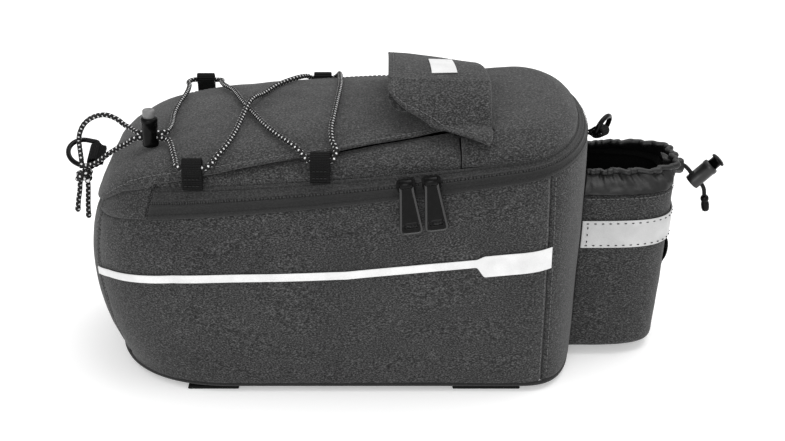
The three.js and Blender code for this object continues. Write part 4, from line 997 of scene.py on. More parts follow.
# Sewing: short stitches, gathered by thread. A row has a pitch and a lift over the cloth.
SEWING = {"light": Shape(), "dark": Shape()}
Row = namedtuple("Row", "thread pitch lift length radius")
WALL_ROW = Row("light", 3.0, 0.1, 2.1, 0.26)
LID_ROW = Row("light", 3.1, 0.15, 2.2, 0.27)
LID_REAR_ROW = Row("dark", 3.1, 0.1, 2.2, 0.25)
ZIP_ROW = Row("dark", 2.6, 0.1, 2.0, 0.22)
ZIP_END_ROW = Row("dark", 2.4, 0.1, 1.8, 0.28)
LOOP_ROW = Row("dark", 2.2, 0.1, 1.7, 0.28)
HANDLE_ROW = Row("light", 2.6, 0.1, 1.9, 0.28)
EDGE_ROW = Row("light", 2.9, 0.1, 2.1, 0.26)
BAND_ROW = Row("dark", 4.6, 0.1, 1.5, 0.34)


def stitch(row, point, along, normal):
    across = along.cross(normal).normalized()
    shape = Shape()
    sides = 6
    for at, size in ((-0.5, 0.45), (-0.32, 1.0), (0.32, 1.0), (0.5, 0.45)):
        for k in range(sides):
            angle = 2 * math.pi * k / sides
            turn = across * math.cos(angle) + normal * math.sin(angle)
            shape.points.append(point + along * row.length * at + turn * row.radius * size)
    rings = shape.stack(sides)
    shape.face(rings[0][::-1])
    shape.face(rings[-1])
    SEWING[row.thread].join(shape)


def spaced(points, first, pitch):
    """Places a pitch apart along a row: the points before and after each, and its share between."""
    runs = run_lengths(points)
    at = first
    i = 0
    while at < runs[-1]:
        while runs[i + 1] < at:
            i += 1
        yield points[i], points[i + 1], (at - runs[i]) / max(1e-9, runs[i + 1] - runs[i])
        at += pitch


def sew(row, place, low, high, outwards):
    """A row of stitches along place(t), on a surface that faces outwards(point)."""
    points = [place(t) for t in steps(low, high, 160)]
    for before, after, share in spaced(points, row.pitch / 2, row.pitch):
        point = before.lerp(after, share)
        along = (after - before).normalized()
        out = outwards(point)
        out = (out - along * out.dot(along)).normalized()
        stitch(row, point + out * row.lift, along, out)


def away_from_middle(point):
    return Vector((point.x - clamp(point.x, FRONT_CENTRE, REAR_CENTRE), point.y, 0.0)).normalized()


def skin_out(point):
    return skin_normal(point.x, point.y)


def upwards(point):
    return Vector((0, 0, 1))


BODY_MIDDLE = Vector((20.0, 0.0, 60.0))
UNDER_LID = Vector((10.0, 0.0, -300.0))


# Cords
def declare_cord(piece, start, path):
    tuple(metres(start))
    sum((b - a).length for a, b in zip(path, path[1:])) * MM
    [tuple(metres(point)) for point in path]


def knot_route():
    """Two turns of cord round both strands, then one slanting turn over them."""
    route = []
    for k in range(15):
        angle = 2 * math.pi * k / 6 - 0.8
        route.append(KNOT_CENTRE + Vector((3.3 * math.cos(angle), 3.3 * math.sin(angle), -2.6 + 0.36 * k)))
    for k in range(7):
        angle = 2 * math.pi * k / 6 + 3.2
        slant = 2.8 * math.cos(angle + 0.6)
        route.append(KNOT_CENTRE + Vector((4.0 * math.cos(angle), 3.8 * math.sin(angle), slant - 0.2)))
    return route


def tapered_end(path):
    """Full width, with a slightly swollen sealed end."""
    count = len(path)
    return [1.0 if i < count - 3 else (1.12, 1.1, 0.8)[i - count + 3] for i in range(count)]


def cords():
    path = smooth_path(BUNGEE_ROUTE, 1.6)
    bungee = stand_in("bungee_cord", "braid", tube(path, CORD_DIAMETER / 2, 16), CORD)
    turns = tube(smooth_path(knot_route(), 0.9), CORD_DIAMETER / 2, 14)
    knot = stand_in("bungee_knot", "turns", turns, CORD)
    for i, route in enumerate(TAIL_ROUTES):
        start = Vector(route[0])
        into_knot = start.lerp(KNOT_CENTRE, 0.7)
        line = smooth_path([into_knot] + route, 1.2)
        shape = tube(line, CORD_DIAMETER / 2, 14, radii=tapered_end(line))
        stand_in(f"bungee_tail_{i + 1}", "braid", shape, CORD)
    declare_cord(bungee, BUNGEE_ROUTE[0], path)
    path = smooth_path([DRAWCORD_START] + DRAWCORD_ROUTE, 1.0)
    shape = tube(path, DRAWCORD_DIAMETER / 2, 14)
    return stand_in("drawcord", "braid", shape, CORD_PLAIN), path


DRAWCORD, DRAWCORD_PATH = cords()


# Body walls
def wall_relief(sides_sewn):
    """Padding that sinks to its seams, with small puckers beside them."""
    def relief(u, v, edge_u, edge_v, point):
        side = edge_u if sides_sewn else UNSEWN
        top = edge_v if v > 0.4 else UNSEWN
        near = min(side, top)
        sink = -0.7 * bell(near, 2.2) - 1.1 * fade(near, 9)
        pucker = 0.5 * wander(point, 7) * fade(near, 10)
        swell = 0.9 * wander(point, 46, 3) + 0.35 * wander(point, 19, 5)
        return sink + pucker + swell * (1 - fade(near, 12))
    return relief


def wall(name, low, high, count):
    columns = edged(step_along(low, 0.15), step_along(high, -0.15), count, 0.012)
    rows = steps(-1, -0.1, 7) + edged(0, 1, 52, 0.012)[1:]
    shape = cloth(wall_point, columns, rows, WALL, BODY_MIDDLE, wall_relief(True), rim=1.3)
    piece = stand_in(name, "padded", shape, FABRIC)


def body():
    wall("side_panel_near", FRONT_SEAM_S, REAR_SEAM_S, 150)
    wall("side_panel_far", 6 - REAR_SEAM_S, 6 - FRONT_SEAM_S, 150)
    wall("front_end_panel", -FRONT_SEAM_S, FRONT_SEAM_S, 30)
    wall("rear_end_panel", REAR_SEAM_S, 6 - REAR_SEAM_S, 80)
    for seam in (FRONT_SEAM_S, REAR_SEAM_S, 6 - REAR_SEAM_S, 6 - FRONT_SEAM_S):
        for offset in (-2.6, 2.6):
            s = step_along(seam, offset)
            sew(WALL_ROW, lambda h: wall_point(s, h, 0.9), 0.02, 0.985, away_from_middle)
    piping = [wall_point(s % 6, -0.42, 0.1) for s in steps(0.0, 6.0, 260)[:-1]]
    add_piece("base_piping", tube(piping, 1.25, 8, closed=True), TAPE_DARK)


def four_sided(near, far, front, rear):
    def plan(u, v):
        point = near(u) * (1 - v) + far(u) * v + front(v) * (1 - u) + rear(v) * u
        corner = near(0) * (1 - u) * (1 - v) + far(0) * (1 - u) * v
        return point - corner - near(1) * u * (1 - v) - far(1) * u * v
    return plan


def base():
    size = wall_size(0.0)

    def edge(s):
        return plan_point(s, size) + plan_inward(s, size) * (BASE_ROUND + LAYER_GAP)

    plan = four_sided(
        lambda u: edge(mix(0.5, 2.5, u)),
        lambda u: edge(mix(5.5, 3.5, u)),
        lambda v: edge(mix(0.5, -0.5, v)),
        lambda v: edge(mix(2.5, 3.5, v)),
    )

    def surface(u, v):
        point = plan(u, v)
        return Vector((point.x, point.y, BASE_LIFT))

    def relief(u, v, edge_u, edge_v, point):
        near = min(edge_u, edge_v)
        return -0.8 * fade(near, 5) + 0.25 * wander(point, 30)

    shape = cloth(surface, edged(0, 1, 60, 0.008), edged(0, 1, 36, 0.012), WALL, Vector((0, 0, 60)), relief)
    piece = stand_in("base_panel", "padded", shape, FABRIC)


# Zip band
def zip_lift(t):
    """Two ridges over the hidden coil, with the meeting line between them."""
    off = (t - 0.5) * BAND_SLANT
    ridge = 0.85 * bell(abs(off) - 1.5, 0.85)
    return ridge - 0.35 * bell(off, 0.5)


def zip_band():
    low, high = step_along(ZIP_END_S, 0.3), step_along(6 - ZIP_END_S, -0.3)

    def relief(u, v, edge_u, edge_v, point):
        dip = 1.0 if v < 0.5 else 0.3
        return zip_lift(v) - dip * bell(edge_v, 1.3) + 0.12 * wander(point, 9)

    rows = edged(0.0, 0.36, 5, 0.03)[:-3] + steps(0.37, 0.63, 26) + edged(0.64, 1.0, 5, 0.03)[3:]
    shape = cloth(
        band_point, edged(low, high, 330, 0.004), rows, ZIP_CLOTH, BODY_MIDDLE, relief, rim=0.6,
        slot_at=lambda u, v: 0 if v > 0.5 else 1,
    )
    add_sheet("zip_band", "tape", shape, [TAPE, TAPE_DARK], 700)
    teeth = Shape()
    points = [band_point(s, 0.5, -0.15) for s in steps(low, high, 900)]
    for point, after, _ in spaced(points, 1.0, TOOTH_PITCH):
        along = (after - point).normalized()
        up = (Vector((0, 0, 1)) - along * along.z).normalized()
        out = along.cross(up).normalized()
        teeth.join(tooth(point, along, up, out))
    add_piece("zip_teeth", teeth, COIL)
    sew(ZIP_ROW, lambda s: band_point(s, 0.14), low, high, away_from_middle)
    sew(ZIP_ROW, lambda s: band_point(s, 0.87), low, high, skin_out)
    for s in (step_along(ZIP_END_S, -1.6), step_along(6 - ZIP_END_S, 1.6)):
        sew(ZIP_END_ROW, lambda t: band_point(s, t, 0.4), 0.06, 0.94, away_from_middle)


def tooth(point, along, up, out):
    shape = Shape()
    half_along, half_up, half_out = 0.42, 1.0, 0.4
    for x in (-1, 1):
        for y in (-1, 1):
            for z in (-1, 1):
                slim = 0.75 if z > 0 else 1.0
                shape.points.append(
                    point + along * x * half_along * slim + up * y * half_up * slim + out * z * half_out
                )
    for corners in ([0, 1, 3, 2], [4, 6, 7, 5], [0, 4, 5, 1], [2, 3, 7, 6], [0, 2, 6, 4], [1, 5, 7, 3]):
        shape.face(corners)
    return shape.facing_out()


# Lid
def near_line(point, ends):
    """Distance of a point from a broken line."""
    best = 1e9
    for a, b in zip(ends, ends[1:]):
        line = b - a
        share = clamp((point - a).dot(line) / line.length_squared)
        best = min(best, (point - a - line * share).length)
    return best


def lid_strip(name, low, high, count, low_edge, tuck_line=None):
    def surface(s, v):
        t = mix(low_edge, underlap_edge(s), v)
        depth = 0.3 + LAYER_GAP * min(1.4, 4.5 * v)
        if low_edge > 0.5:
            depth = mix(2.6, depth, smooth(clamp((t - 0.94) / 0.07)))
        return band_point(s, t, depth)

    def relief(u, v, edge_u, edge_v, point):
        seam = edge_v if v < 0.5 else UNSEWN
        lift = -0.4 * bell(seam, 1.4) + 0.5 * wander(point, 16) * (1 - fade(seam, 4))
        lift -= 0.5 * bell(edge_u, 1.5)
        if tuck_line:
            lift -= 1.2 * bell(near_line(point, tuck_line), 0.9)
        return lift

    columns = edged(low, high, count, 0.01)
    shape = cloth(surface, columns, edged(0, 1, 30, 0.02), CLOTH, BODY_MIDDLE, relief, rim=0.8)
    length = run_lengths([surface(s, 0.5) for s in columns])[-1]
    add_sheet(name, "cloth", shape, FABRIC, length)


def lid_sides():
    near_tuck = [band_point(0.292, 0.42), band_point(0.335, 0.12), band_point(0.385, 0.34)]
    far_tuck = [Vector((p.x, -p.y, p.z)) for p in near_tuck]
    zip_end = step_along(ZIP_END_S, -0.3)
    lid_strip("front_gusset_near", GUSSET_S, zip_end, 40, 0.02, near_tuck)
    lid_strip("front_gusset_far", 6 - zip_end, 6 - GUSSET_S, 40, 0.02, far_tuck)
    lid_strip("lid_side_near", step_along(ZIP_END_S, 0.3), step_along(LID_SEAM_S, -0.3), 90, 0.9)
    lid_strip("lid_side_far", step_along(6 - LID_SEAM_S, 0.3), step_along(6 - ZIP_END_S, -0.3), 90, 0.9)


def nose_facing():
    """A strip of fabric behind the seam between the lid's nose and the front wall."""
    def surface(s, v):
        return band_point(s, mix(-0.2, top_edge(s) + 0.35, v), 2.3)

    reach = GUSSET_S + 0.03
    shape = cloth(surface, edged(-reach, reach, 50, 0.01), edged(0, 1, 12, 0.05), 1.2, BODY_MIDDLE)
    piece = add_piece("nose_facing_cloth", shape, FABRIC)
    declare_sheet(piece, shape, 54)


def top_plan():
    def edge(s):
        point = band_point(s, top_edge(s))
        return Vector((point.x, point.y))

    def rear_edge(side):
        return Vector((LID_SEAM_X - 0.3, edge(LID_SEAM_S if side < 0 else 6 - LID_SEAM_S).y))

    end = step_along(LID_SEAM_S, -0.3)
    return four_sided(
        lambda u: edge(mix(LID_CORNER_S, end, u)),
        lambda u: edge(mix(6 - LID_CORNER_S, 6 - end, u)),
        lambda v: edge(mix(LID_CORNER_S, -LID_CORNER_S, v)),
        lambda v: rear_edge(-1).lerp(rear_edge(1), v),
    )


def lid_top():
    plan = top_plan()

    def relief(u, v, edge_u, edge_v, point):
        side = edge_v
        lift = 0.7 * fade(side, 5) * (0.6 + wander(point, 26, 2))
        lift -= 0.45 * bell(side - 3.4, 0.8)
        lift += 0.8 * wander(point, 34, 7) + 0.4 * wander(point, 13, 9)
        nose = clamp((FRONT_CENTRE + 10 - point.x) / 50)
        lift -= 1.6 * nose * fade(min(edge_u, edge_v), 2.5)
        if u > 0.5:
            lift -= 1.3 * bell(edge_u, 2.0) + 0.8 * fade(edge_u, 8)
        return lift

    columns = [0, 0.002, 0.006, 0.012] + steps(0.02, 0.988, 110) + [0.993, 0.997, 1]
    rows = edged(0, 1, 84, 0.008)
    shape = cloth(lambda u, v: on_skin(plan(u, v), TOP_RAISE), columns, rows, CLOTH, UNDER_LID, relief)
    add_sheet("lid_top_panel", "cloth", shape, FABRIC, 225)
    for v in (0.022, 0.978):
        sew(LID_ROW, lambda u: on_skin(plan(u, v), TOP_RAISE - 0.2), 0.04, 0.985, skin_out)


def rear_plan():
    corner = 2.5
    half = LID_SIZE.half - 0.3
    start = step_along(LID_SEAM_S, 0.3)

    def edge(s):
        point = band_point(s, 0.97)
        return Vector((point.x, point.y))

    return four_sided(
        lambda u: edge(mix(start, corner, u)),
        lambda u: edge(mix(6 - start, 6 - corner, u)),
        lambda v: Vector((LID_SEAM_X + 0.3, mix(-half, half, v))),
        lambda v: edge(mix(corner, 6 - corner, v)),
    )


def rear_surface(plan):
    def surface(u, v):
        point = plan(u, v)
        share = outline_share(point.x, point.y, LID_SIZE)
        place = on_skin(point, 0.4 + (TOP_RAISE - 0.4) * smooth(clamp((1 - share) / 0.3)))
        tuck = 4.5 * smooth(clamp((share - 0.988) / 0.015))
        return place - Vector((0, 0, tuck))
    return surface


def lid_rear():
    plan = rear_plan()
    surface = rear_surface(plan)

    def relief(u, v, edge_u, edge_v, point):
        outline = min(edge_v, edge_u if u > 0.5 else UNSEWN)
        lift = 0.4 * wander(point, 30, 11) + 0.3 * wander(point, 12, 13)
        if u < 0.5:
            lift -= 1.3 * bell(edge_u, 2.0) + 0.8 * fade(edge_u, 8)
        return lift * (1 - fade(outline, 3)) - 0.5 * bell(outline - 3, 0.8)

    shape = cloth(surface, edged(0, 1, 60, 0.012), edged(0, 1, 84, 0.008), CLOTH, UNDER_LID, relief, rim=1.2)
    add_sheet("lid_rear_panel", "cloth", shape, FABRIC, 150)
    sew(LID_REAR_ROW, lambda v: surface(0.035, v), 0.02, 0.98, skin_out)


# Reflective side stripe
def side_stripe():
    step_s = 1 + (STRIPE_STEP_X - FRONT_CENTRE) / (REAR_CENTRE - FRONT_CENTRE)
    slant = 0.035

    def height(s, v):
        wide = smooth(clamp((s - step_s) / slant))
        top = read_table(STRIPE_LINE, s) + STRIPE_THIN / 2 + (STRIPE_WIDE - STRIPE_THIN) * 0.2 * wide
        return top - mix(STRIPE_THIN, STRIPE_WIDE, wide) * (1 - v)

    def surface(s, v):
        return wall_point(s, wall_share(s, height(s, v)), -1.3)

    low, high = step_along(FRONT_SEAM_S, 1.2), step_along(REAR_SEAM_S, 0.5)
    columns = edged(low, step_s, 150, 0.004)[:-3] + steps(step_s + 0.003, step_s + slant, 9)
    columns += edged(step_s + slant + 0.003, high, 46, 0.003)[3:]
    rows = edged(0, 1, 6, 0.06)
    shape = cloth(
        surface, columns, rows, STRIPE_CLOTH, BODY_MIDDLE,
        lambda u, v, edge_u, edge_v, point: 0.9 * wander(point, 46, 3), rim=0.4,
    )
    length = run_lengths([surface(s, 0.5) for s in columns])[-1]
    add_sheet("side_stripe", "tape", shape, BRIGHT, length)


# Straps
def strap(path, across, width, thick, count=8):
    """Webbing of the given width along a path of points."""
    runs = run_lengths(path)

    def surface(u, v):
        at = u * runs[-1]
        i = min(len(path) - 2, max(k for k in range(len(path)) if runs[k] <= at + 1e-9))
        share = (at - runs[i]) / (runs[i + 1] - runs[i])
        return path[i].lerp(path[i + 1], share) + across * (v - 0.5) * width

    rim = thick / 2
    columns = edged(0, 1, max(24, len(path)), rim / runs[-1])
    return cloth(surface, columns, edged(0, 1, count, rim / width), thick)


def folded_strap(foot, along, out, length, bend, foot_low, foot_gap):
    """The line of a strap folded round a bar or cord: up one layer, round the bend and back."""
    foot_high = foot_low + foot_gap
    low_place = length * 0.3
    high_place = length - bend - 2.5
    side = [(0.0, foot_low), (low_place, mix(foot_low, -bend, 0.35)), (high_place, -bend)]
    turn = [
        (length - bend + bend * math.sin(a), -bend * math.cos(a))
        for a in (0.0, math.pi / 4, math.pi / 2, 3 * math.pi / 4, math.pi)
    ]
    back = [(high_place, bend), (low_place, mix(foot_high, bend, 0.35)), (0.0, foot_high)]
    return smooth_path([foot + along * a + out * b for a, b in side + turn + back], 1.0)


def cord_loops():
    for name, x, side, lean, edge_lift in LOOP_PLACES:
        turn = math.radians(lean)
        up = Vector((0, -side * math.cos(turn), math.sin(turn)))
        out = Vector((0, side * math.sin(turn), math.cos(turn)))
        lift = TOP_RAISE + 0.3 + LOOP_CLOTH + 2.1 + edge_lift
        seam = Vector((x, side * LID_SIZE.half, upper_seam(x)))
        foot = seam - up * 2.0 + out * lift
        line = folded_strap(foot, up, out, LOOP_LENGTH, LOOP_BEND, 1.0 - lift, 1.5)
        shape = strap(line, Vector((1, 0, 0)), LOOP_WIDTH, LOOP_CLOTH, 10)
        stand_in(name, "webbing", shape, WEB_FINE)
        for distance in (1.6, 5.0):
            row = foot + up * distance + out * (mix(2.5 - lift, LOOP_BEND, distance / 12) + 0.5)
            end = LOOP_WIDTH / 2 - 1
            sew(LOOP_ROW, lambda t: row + Vector((t, 0, 0)), -end, end, lambda point: out)


def rack_straps():
    for name, x, width in RACK_STRAPS:
        def surface(u, v):
            return Vector((x + (v - 0.5) * width, mix(-STRAP_REACH, STRAP_REACH, u), STRAP_CLOTH / 2))

        shape = cloth(surface, edged(0, 1, 90, 0.007), edged(0, 1, 20, 0.03), STRAP_CLOTH)
        stand_in(name, "webbing", shape, WEB)


# Handle
def handle():
    def surface(y, v):
        x = HANDLE_X + (v - 0.5) * WEBBING_WIDTH
        return Vector((x, y, handle_arch(x, y) + WEBBING))

    columns = edged(-HANDLE_FOOT, HANDLE_FOOT, 110, 0.8)
    shape = cloth(surface, columns, edged(0, 1, 12, 0.04), WEBBING, UNDER_LID,
                  lambda u, v, edge_u, edge_v, point: 0.15 * wander(point, 9))
    add_sheet("handle_webbing", "strap", shape, WEB, 140)
    for side in (-1, 1):
        for v in (0.1, 0.9):
            sew(HANDLE_ROW, lambda t: surface(side * t, v), 50, 62, upwards)
        for y in (51.5, 61.5):
            sew(HANDLE_ROW, lambda v: surface(side * y, v), 0.1, 0.9, upwards)


def wrap_section(share):
    """A narrow C, open on the front side: place, height and direction outwards."""
    bend = WEBBING / 2 + LAYER_GAP + WRAP_CLOTH / 2
    fold = WRAP_FOLD_X - WEBBING / 2 - LAYER_GAP - WRAP_CLOTH
    start = WRAP_FOLD_X - WRAP_WIDTH
    straight = fold - start
    at = share * (2 * straight + math.pi * bend)
    if at < straight:
        return start + at, -bend, 0.0, -1.0
    if at < straight + math.pi * bend:
        angle = (at - straight) / bend - QUARTER
        return fold + bend * math.cos(angle), bend * math.sin(angle), math.cos(angle), math.sin(angle)
    return fold - (at - straight - math.pi * bend), bend, 0.0, 1.0


def wrap_point(share, y):
    x, z, normal_x, normal_z = wrap_section(share)
    free = clamp((WRAP_FOLD_X - 8 - x) / (WRAP_WIDTH - 8))
    sag = 1.5 * free if share < 0.5 else 0.0
    arch = handle_arch(x, y) + WEBBING / 2 - sag
    half = WRAP_CLOTH / 2
    lean = WRAP_LEAN * across_wrap(x) * smooth(clamp((y + 25) / 60))
    return Vector((x + normal_x * half - lean, y, arch + z + normal_z * half))


WRAP_MIDDLE = Vector((62.0, 0.0, handle_arch(HANDLE_X, 0) - 4))


def wrap():
    def surface(share, y):
        x = wrap_section(share)[0]
        reach = WRAP_REACH
        start = WRAP_FOLD_X - WRAP_WIDTH
        inset = start + WRAP_CORNER - x
        if inset > 0:
            reach -= WRAP_CORNER - math.sqrt(max(0.0, WRAP_CORNER ** 2 - inset ** 2))
        upper = smooth(clamp((share - WRAP_TURN) / 0.06))
        longer = WRAP_SKEW * upper if y < 0 else -WRAP_TRIM
        reach *= 1 + longer / WRAP_REACH * clamp((x - start) / WRAP_WIDTH)
        return wrap_point(share, y * reach)

    def relief(u, v, edge_u, edge_v, point):
        near = min(edge_u, edge_v)
        lift = -0.35 * bell(near - 3, 0.8) + 0.5 * wander(point, 17, 4)
        lift += 0.5 * bell(point.y + 27 + 0.12 * (point.x - 60), 2.2)
        return lift + 0.5 * bell(point.y - 24, 2.4)

    rows = edged(0, WRAP_TURN, 44, 0.006)[:-3] + steps(0.474, 0.53, 14) + edged(0.534, 1, 44, 0.006)[3:]
    shape = cloth(surface, rows, edged(-1, 1, 80, 0.02), WRAP_CLOTH, WRAP_MIDDLE, relief)
    add_sheet("handle_wrap", "cloth", shape, FABRIC, 124)
    sew(EDGE_ROW, lambda y: surface(0.972, y), -0.93, 0.93, upwards)
    for y in (-0.94, 0.94):
        sew(EDGE_ROW, lambda share: surface(share, y), 0.58, 0.97, upwards)


def wrap_label():
    def surface(y, v):
        x = LABEL_X + (v - 0.5) * LABEL_WIDTH
        return wrap_point(0.5 + (WRAP_FOLD_X - 3 - x + 2.5) / 120, y) + Vector((0, 0, 0.9))

    low = LABEL_MIDDLE - LABEL_LENGTH / 2
    columns = edged(low, low + LABEL_LENGTH, 26, 0.3)
    shape = cloth(surface, columns, edged(0, 1, 12, 0.02), LABEL_CLOTH, WRAP_MIDDLE)
    add_sheet("wrap_label", "tape", shape, BRIGHT, LABEL_LENGTH)


# Bottle pocket
POCKET_MIDDLE = Vector((170.0, 0.0, 60.0))


def out_of_pocket(point):
    return point - POCKET_MIDDLE


def pocket_wall():
    def lift_cloth(u, v, edge_u, edge_v, point):
        top = edge_v if v > 60 else UNSEWN
        lift = 0.7 * wander(point, 34, 21) + 0.3 * wander(point, 13, 23)
        lift += 0.5 * fade(top, 6) * wander(point, 8, 25)
        return lift - 0.7 * bell(top, 1.8) - 0.6 * bell(edge_v, 1.5)

    columns = edged(-1, 1, 110, 0.012)
    rows = edged(POCKET_BASE, POCKET_TOP, 52, 1.0)
    # The inner face takes the near-black painted shade of the pocket's inside
    shape = cloth(pocket_point, columns, rows, POCKET_CLOTH, POCKET_MIDDLE, lift_cloth, inside_painted_shade=1)
    add_sheet("pocket_wall", "cloth", shape, [FABRIC, POCKET_INSIDE_SHADE], 190)
    sew(EDGE_ROW, lambda t: pocket_point(t, POCKET_TOP - 1.6), -0.97, 0.97, out_of_pocket)


def pocket_floor():
    """The floor reaches from the bag's rear face to the inner side of the pocket's wall."""
    top = POCKET_BASE + POCKET_CLOTH
    depth = POCKET_CLOTH + LAYER_GAP
    half = 34.2

    def surface(u, v):
        y = mix(-half, half, v)
        low, high = -0.97, 0.97
        for _ in range(30):
            turn = (low + high) / 2
            if pocket_point(turn, top, depth).y < y:
                low = turn
            else:
                high = turn
        reach = pocket_point(turn, top, depth).x
        return Vector((mix(rear_face_x(y, top) + 0.3, reach, u), y, POCKET_BASE))

    shape = cloth(surface, edged(0, 1, 20, 0.02), edged(0, 1, 28, 0.02), POCKET_CLOTH, Vector((180, 0, 40)))
    add_sheet("pocket_floor", "cloth", shape, FABRIC, 68)


def pocket_collar():
    def surface(turn, v):
        side = math.sin(turn * QUARTER)
        height = COLLAR_HEIGHT * (1 - 0.3 * max(0.0, side))
        fold = math.cos(turn * COLLAR_FOLDS * math.pi + 1.6 * wander((turn * 40, 0, 0), 9))
        fold += 0.7 * math.cos(turn * COLLAR_CREASES * math.pi + 2.0)
        ruffle = 1.25 * max(0.0, v) ** 1.2 * fold * (1 - turn ** 4)
        ruffle -= 2.6 * (1 - smooth(clamp((v + 0.02) / 0.1)))
        ragged = 1.3 * v * wander((turn * 60, 3, 0), 8, 31)
        half_width = POCKET_HALF - COLLAR_DRAW * smooth(clamp(v))
        return pocket_point(turn, POCKET_TOP + 0.3 + height * v + ragged, -ruffle, half_width)

    def lift_cloth(u, v, edge_u, edge_v, point):
        return 0.6 * wander(point, 6, 33) - 0.6 * bell(edge_v, 1.5) * (1 if v < 0.5 else 0)

    rows = [-0.2, -0.19, -0.16, -0.12, -0.07] + steps(-0.03, 0.1, 8) + edged(0.13, 1, 18, 0.05)[1:]
    columns = edged(-1, 1, 230, 0.01)
    # The inner face takes the near-black painted shade of the pocket's inside
    shape = cloth(surface, columns, rows, COLLAR_CLOTH, POCKET_MIDDLE, lift_cloth, inside_painted_shade=1)
    add_sheet("pocket_collar", "cloth", shape, [NYLON, POCKET_INSIDE_SHADE], 170)
    rim = [surface(turn, 0.93) for turn in steps(-0.99, 0.99, 200)]
    radii = [1.0 + 0.25 * wander(point, 5, 37) for point in rim]
    add_piece("collar_hem", tube(rim, 1.9, 10, radii=radii), NYLON)


def pocket_band():
    def surface(turn, z):
        return pocket_point(turn, z, -1.6)

    def follow_wall(u, v, edge_u, edge_v, point):
        return 0.7 * wander(point, 34, 21)

    columns = edged(-0.985, 0.985, 110, 0.005)
    rows = edged(BAND_LOW, BAND_HIGH, 16, 0.4)
    shape = cloth(surface, columns, rows, 0.8, POCKET_MIDDLE, follow_wall, rim=0.4)
    add_sheet("pocket_band", "tape", shape, BRIGHT_BAND, 185)
    for z in (BAND_LOW + 1.7, BAND_HIGH - 1.7):
        sew(BAND_ROW, lambda t: pocket_point(t, z, -1.7), -0.97, 0.97, lambda p: Vector((p.x - 160, p.y, 0)))
    for t in (-0.93, 0.93):
        low, high = BAND_LOW + 2, BAND_HIGH - 2
        sew(BAND_ROW, lambda z: pocket_point(t, z, -1.7), low, high, lambda p: Vector((0.2, p.y, 0)))


def light_loop():
    top = pocket_point(0, 74.0)
    foot = pocket_point(0, 50.0)
    down = (foot - top).normalized()
    across = Vector((0, 1, 0))
    out = down.cross(across)
    if out.x < 0:
        out = -out
    corners = [(0.0, 0.75), (2.5, 0.8), (7, 2.6), (12, 3.2), (17, 2.6), (21.5, 0.8), (24.0, 0.75)]
    line = smooth_path([top + down * a + out * (b + 0.2) for a, b in corners], 1.0)
    stand_in("light_loop", "webbing", strap(line, across, 20.0, 1.1, 14), WEB)
    for at in (1.4, 22.6):
        row = top + down * at + out * 1.5
        sew(LOOP_ROW, lambda t: row + across * t, -9, 9, lambda point: out)


# D-rings and their tabs
Ring = namedtuple("Ring", "width depth tab_width tab_length bar roll yaw lean forward")
WIRE = 3.2
RING_TUBE = 1.55
TAB_BEND = 3.0
FRONT_RING = Ring(27.0, 19.5, 16.0, 9.5, (-150.2, -4.0, 124.0), 18.0, 0.0, 16.0, -1)
REAR_RING = Ring(20.0, 14.0, 12.0, 10.5, (162.3, 0.0, 138.0), -10.0, 30.0, 68.0, 1)


def ring_axes(ring):
    across = Vector((0, 1, 0))
    across.rotate(Matrix.Rotation(math.radians(ring.roll), 3, "X"))
    across.rotate(Matrix.Rotation(math.radians(-ring.yaw), 3, "Z"))
    lean = math.radians(ring.lean)
    out = Vector((ring.forward * math.cos(lean), 0, math.sin(lean)))
    out = (out - across * out.dot(across)).normalized()
    return across, out


def d_ring(name, ring, body_name):
    across, out = ring_axes(ring)
    half = ring.width / 2 - WIRE / 2
    bend = min(ring.width / 2, ring.depth * 0.6) - WIRE / 2
    leg = ring.depth - WIRE - bend
    corner = 1.3
    line = [(x, 0.0) for x in steps(corner - half, half - corner, 6)]
    line += [(half - 0.38, 0.38), (half, corner)] + [(half, y) for y in steps(corner, leg, 3)[1:]]
    line += [(half * math.cos(a), leg + bend * math.sin(a)) for a in steps(0, math.pi, 22)[1:]]
    line += [(-half, y) for y in steps(leg, corner, 3)[1:]] + [(0.38 - half, 0.38)]
    bar = Vector(ring.bar)
    path = smooth_path([bar + across * x + out * y for x, y in line], 0.8, closed=True)
    wire = tube(path, RING_TUBE, 14, closed=True)
    stand_in(name, "moulded", wire, BLACK, body_name)


def ring_tab(name, ring, towards, drop):
    across, _ = ring_axes(ring)
    back = Vector(towards)
    back = (back - across * back.dot(across)).normalized()
    out = across.cross(back)
    if out.z < 0:
        out = -out
    foot = Vector(ring.bar) + back * (ring.tab_length - 3.55)
    line = folded_strap(foot, -back, out, ring.tab_length, TAB_BEND, drop, 1.3)
    stand_in(name, "webbing", strap(line, across, ring.tab_width, 1.1, 12), WEB_FINE)


# Sliders and pulls
PULL_LENGTH = 30.0
PULL_NARROW = 3.65
PULL_WIDE = 6.4
PULL_CORNER = 2.2
SLOT_LOW = -27.0
SLOT_HIGH = -24.4
SLOT_HALF = 4.1
RIM_INSET = 0.93
RIM_RADIUS = 0.85
BAR_HEIGHT = 7.6


def zip_frame(x):
    s = 1 + (x - FRONT_CENTRE) / (REAR_CENTRE - FRONT_CENTRE)
    along = (band_point(s + 0.05, 0.5) - band_point(s - 0.05, 0.5)).normalized()
    up = (band_point(s, 1) - band_point(s, 0)).normalized()
    out = along.cross(up).normalized()
    return band_point(s, 0.5), along, out


def pull_half(y):
    """Half the pull's width at a height under its bar."""
    half = mix(PULL_NARROW, PULL_WIDE, clamp((-4 - y) / (PULL_LENGTH - 6)))
    over = -y - (PULL_LENGTH - PULL_CORNER)
    return half - (PULL_CORNER - math.sqrt(max(0.0, PULL_CORNER ** 2 - max(0.0, over) ** 2)))


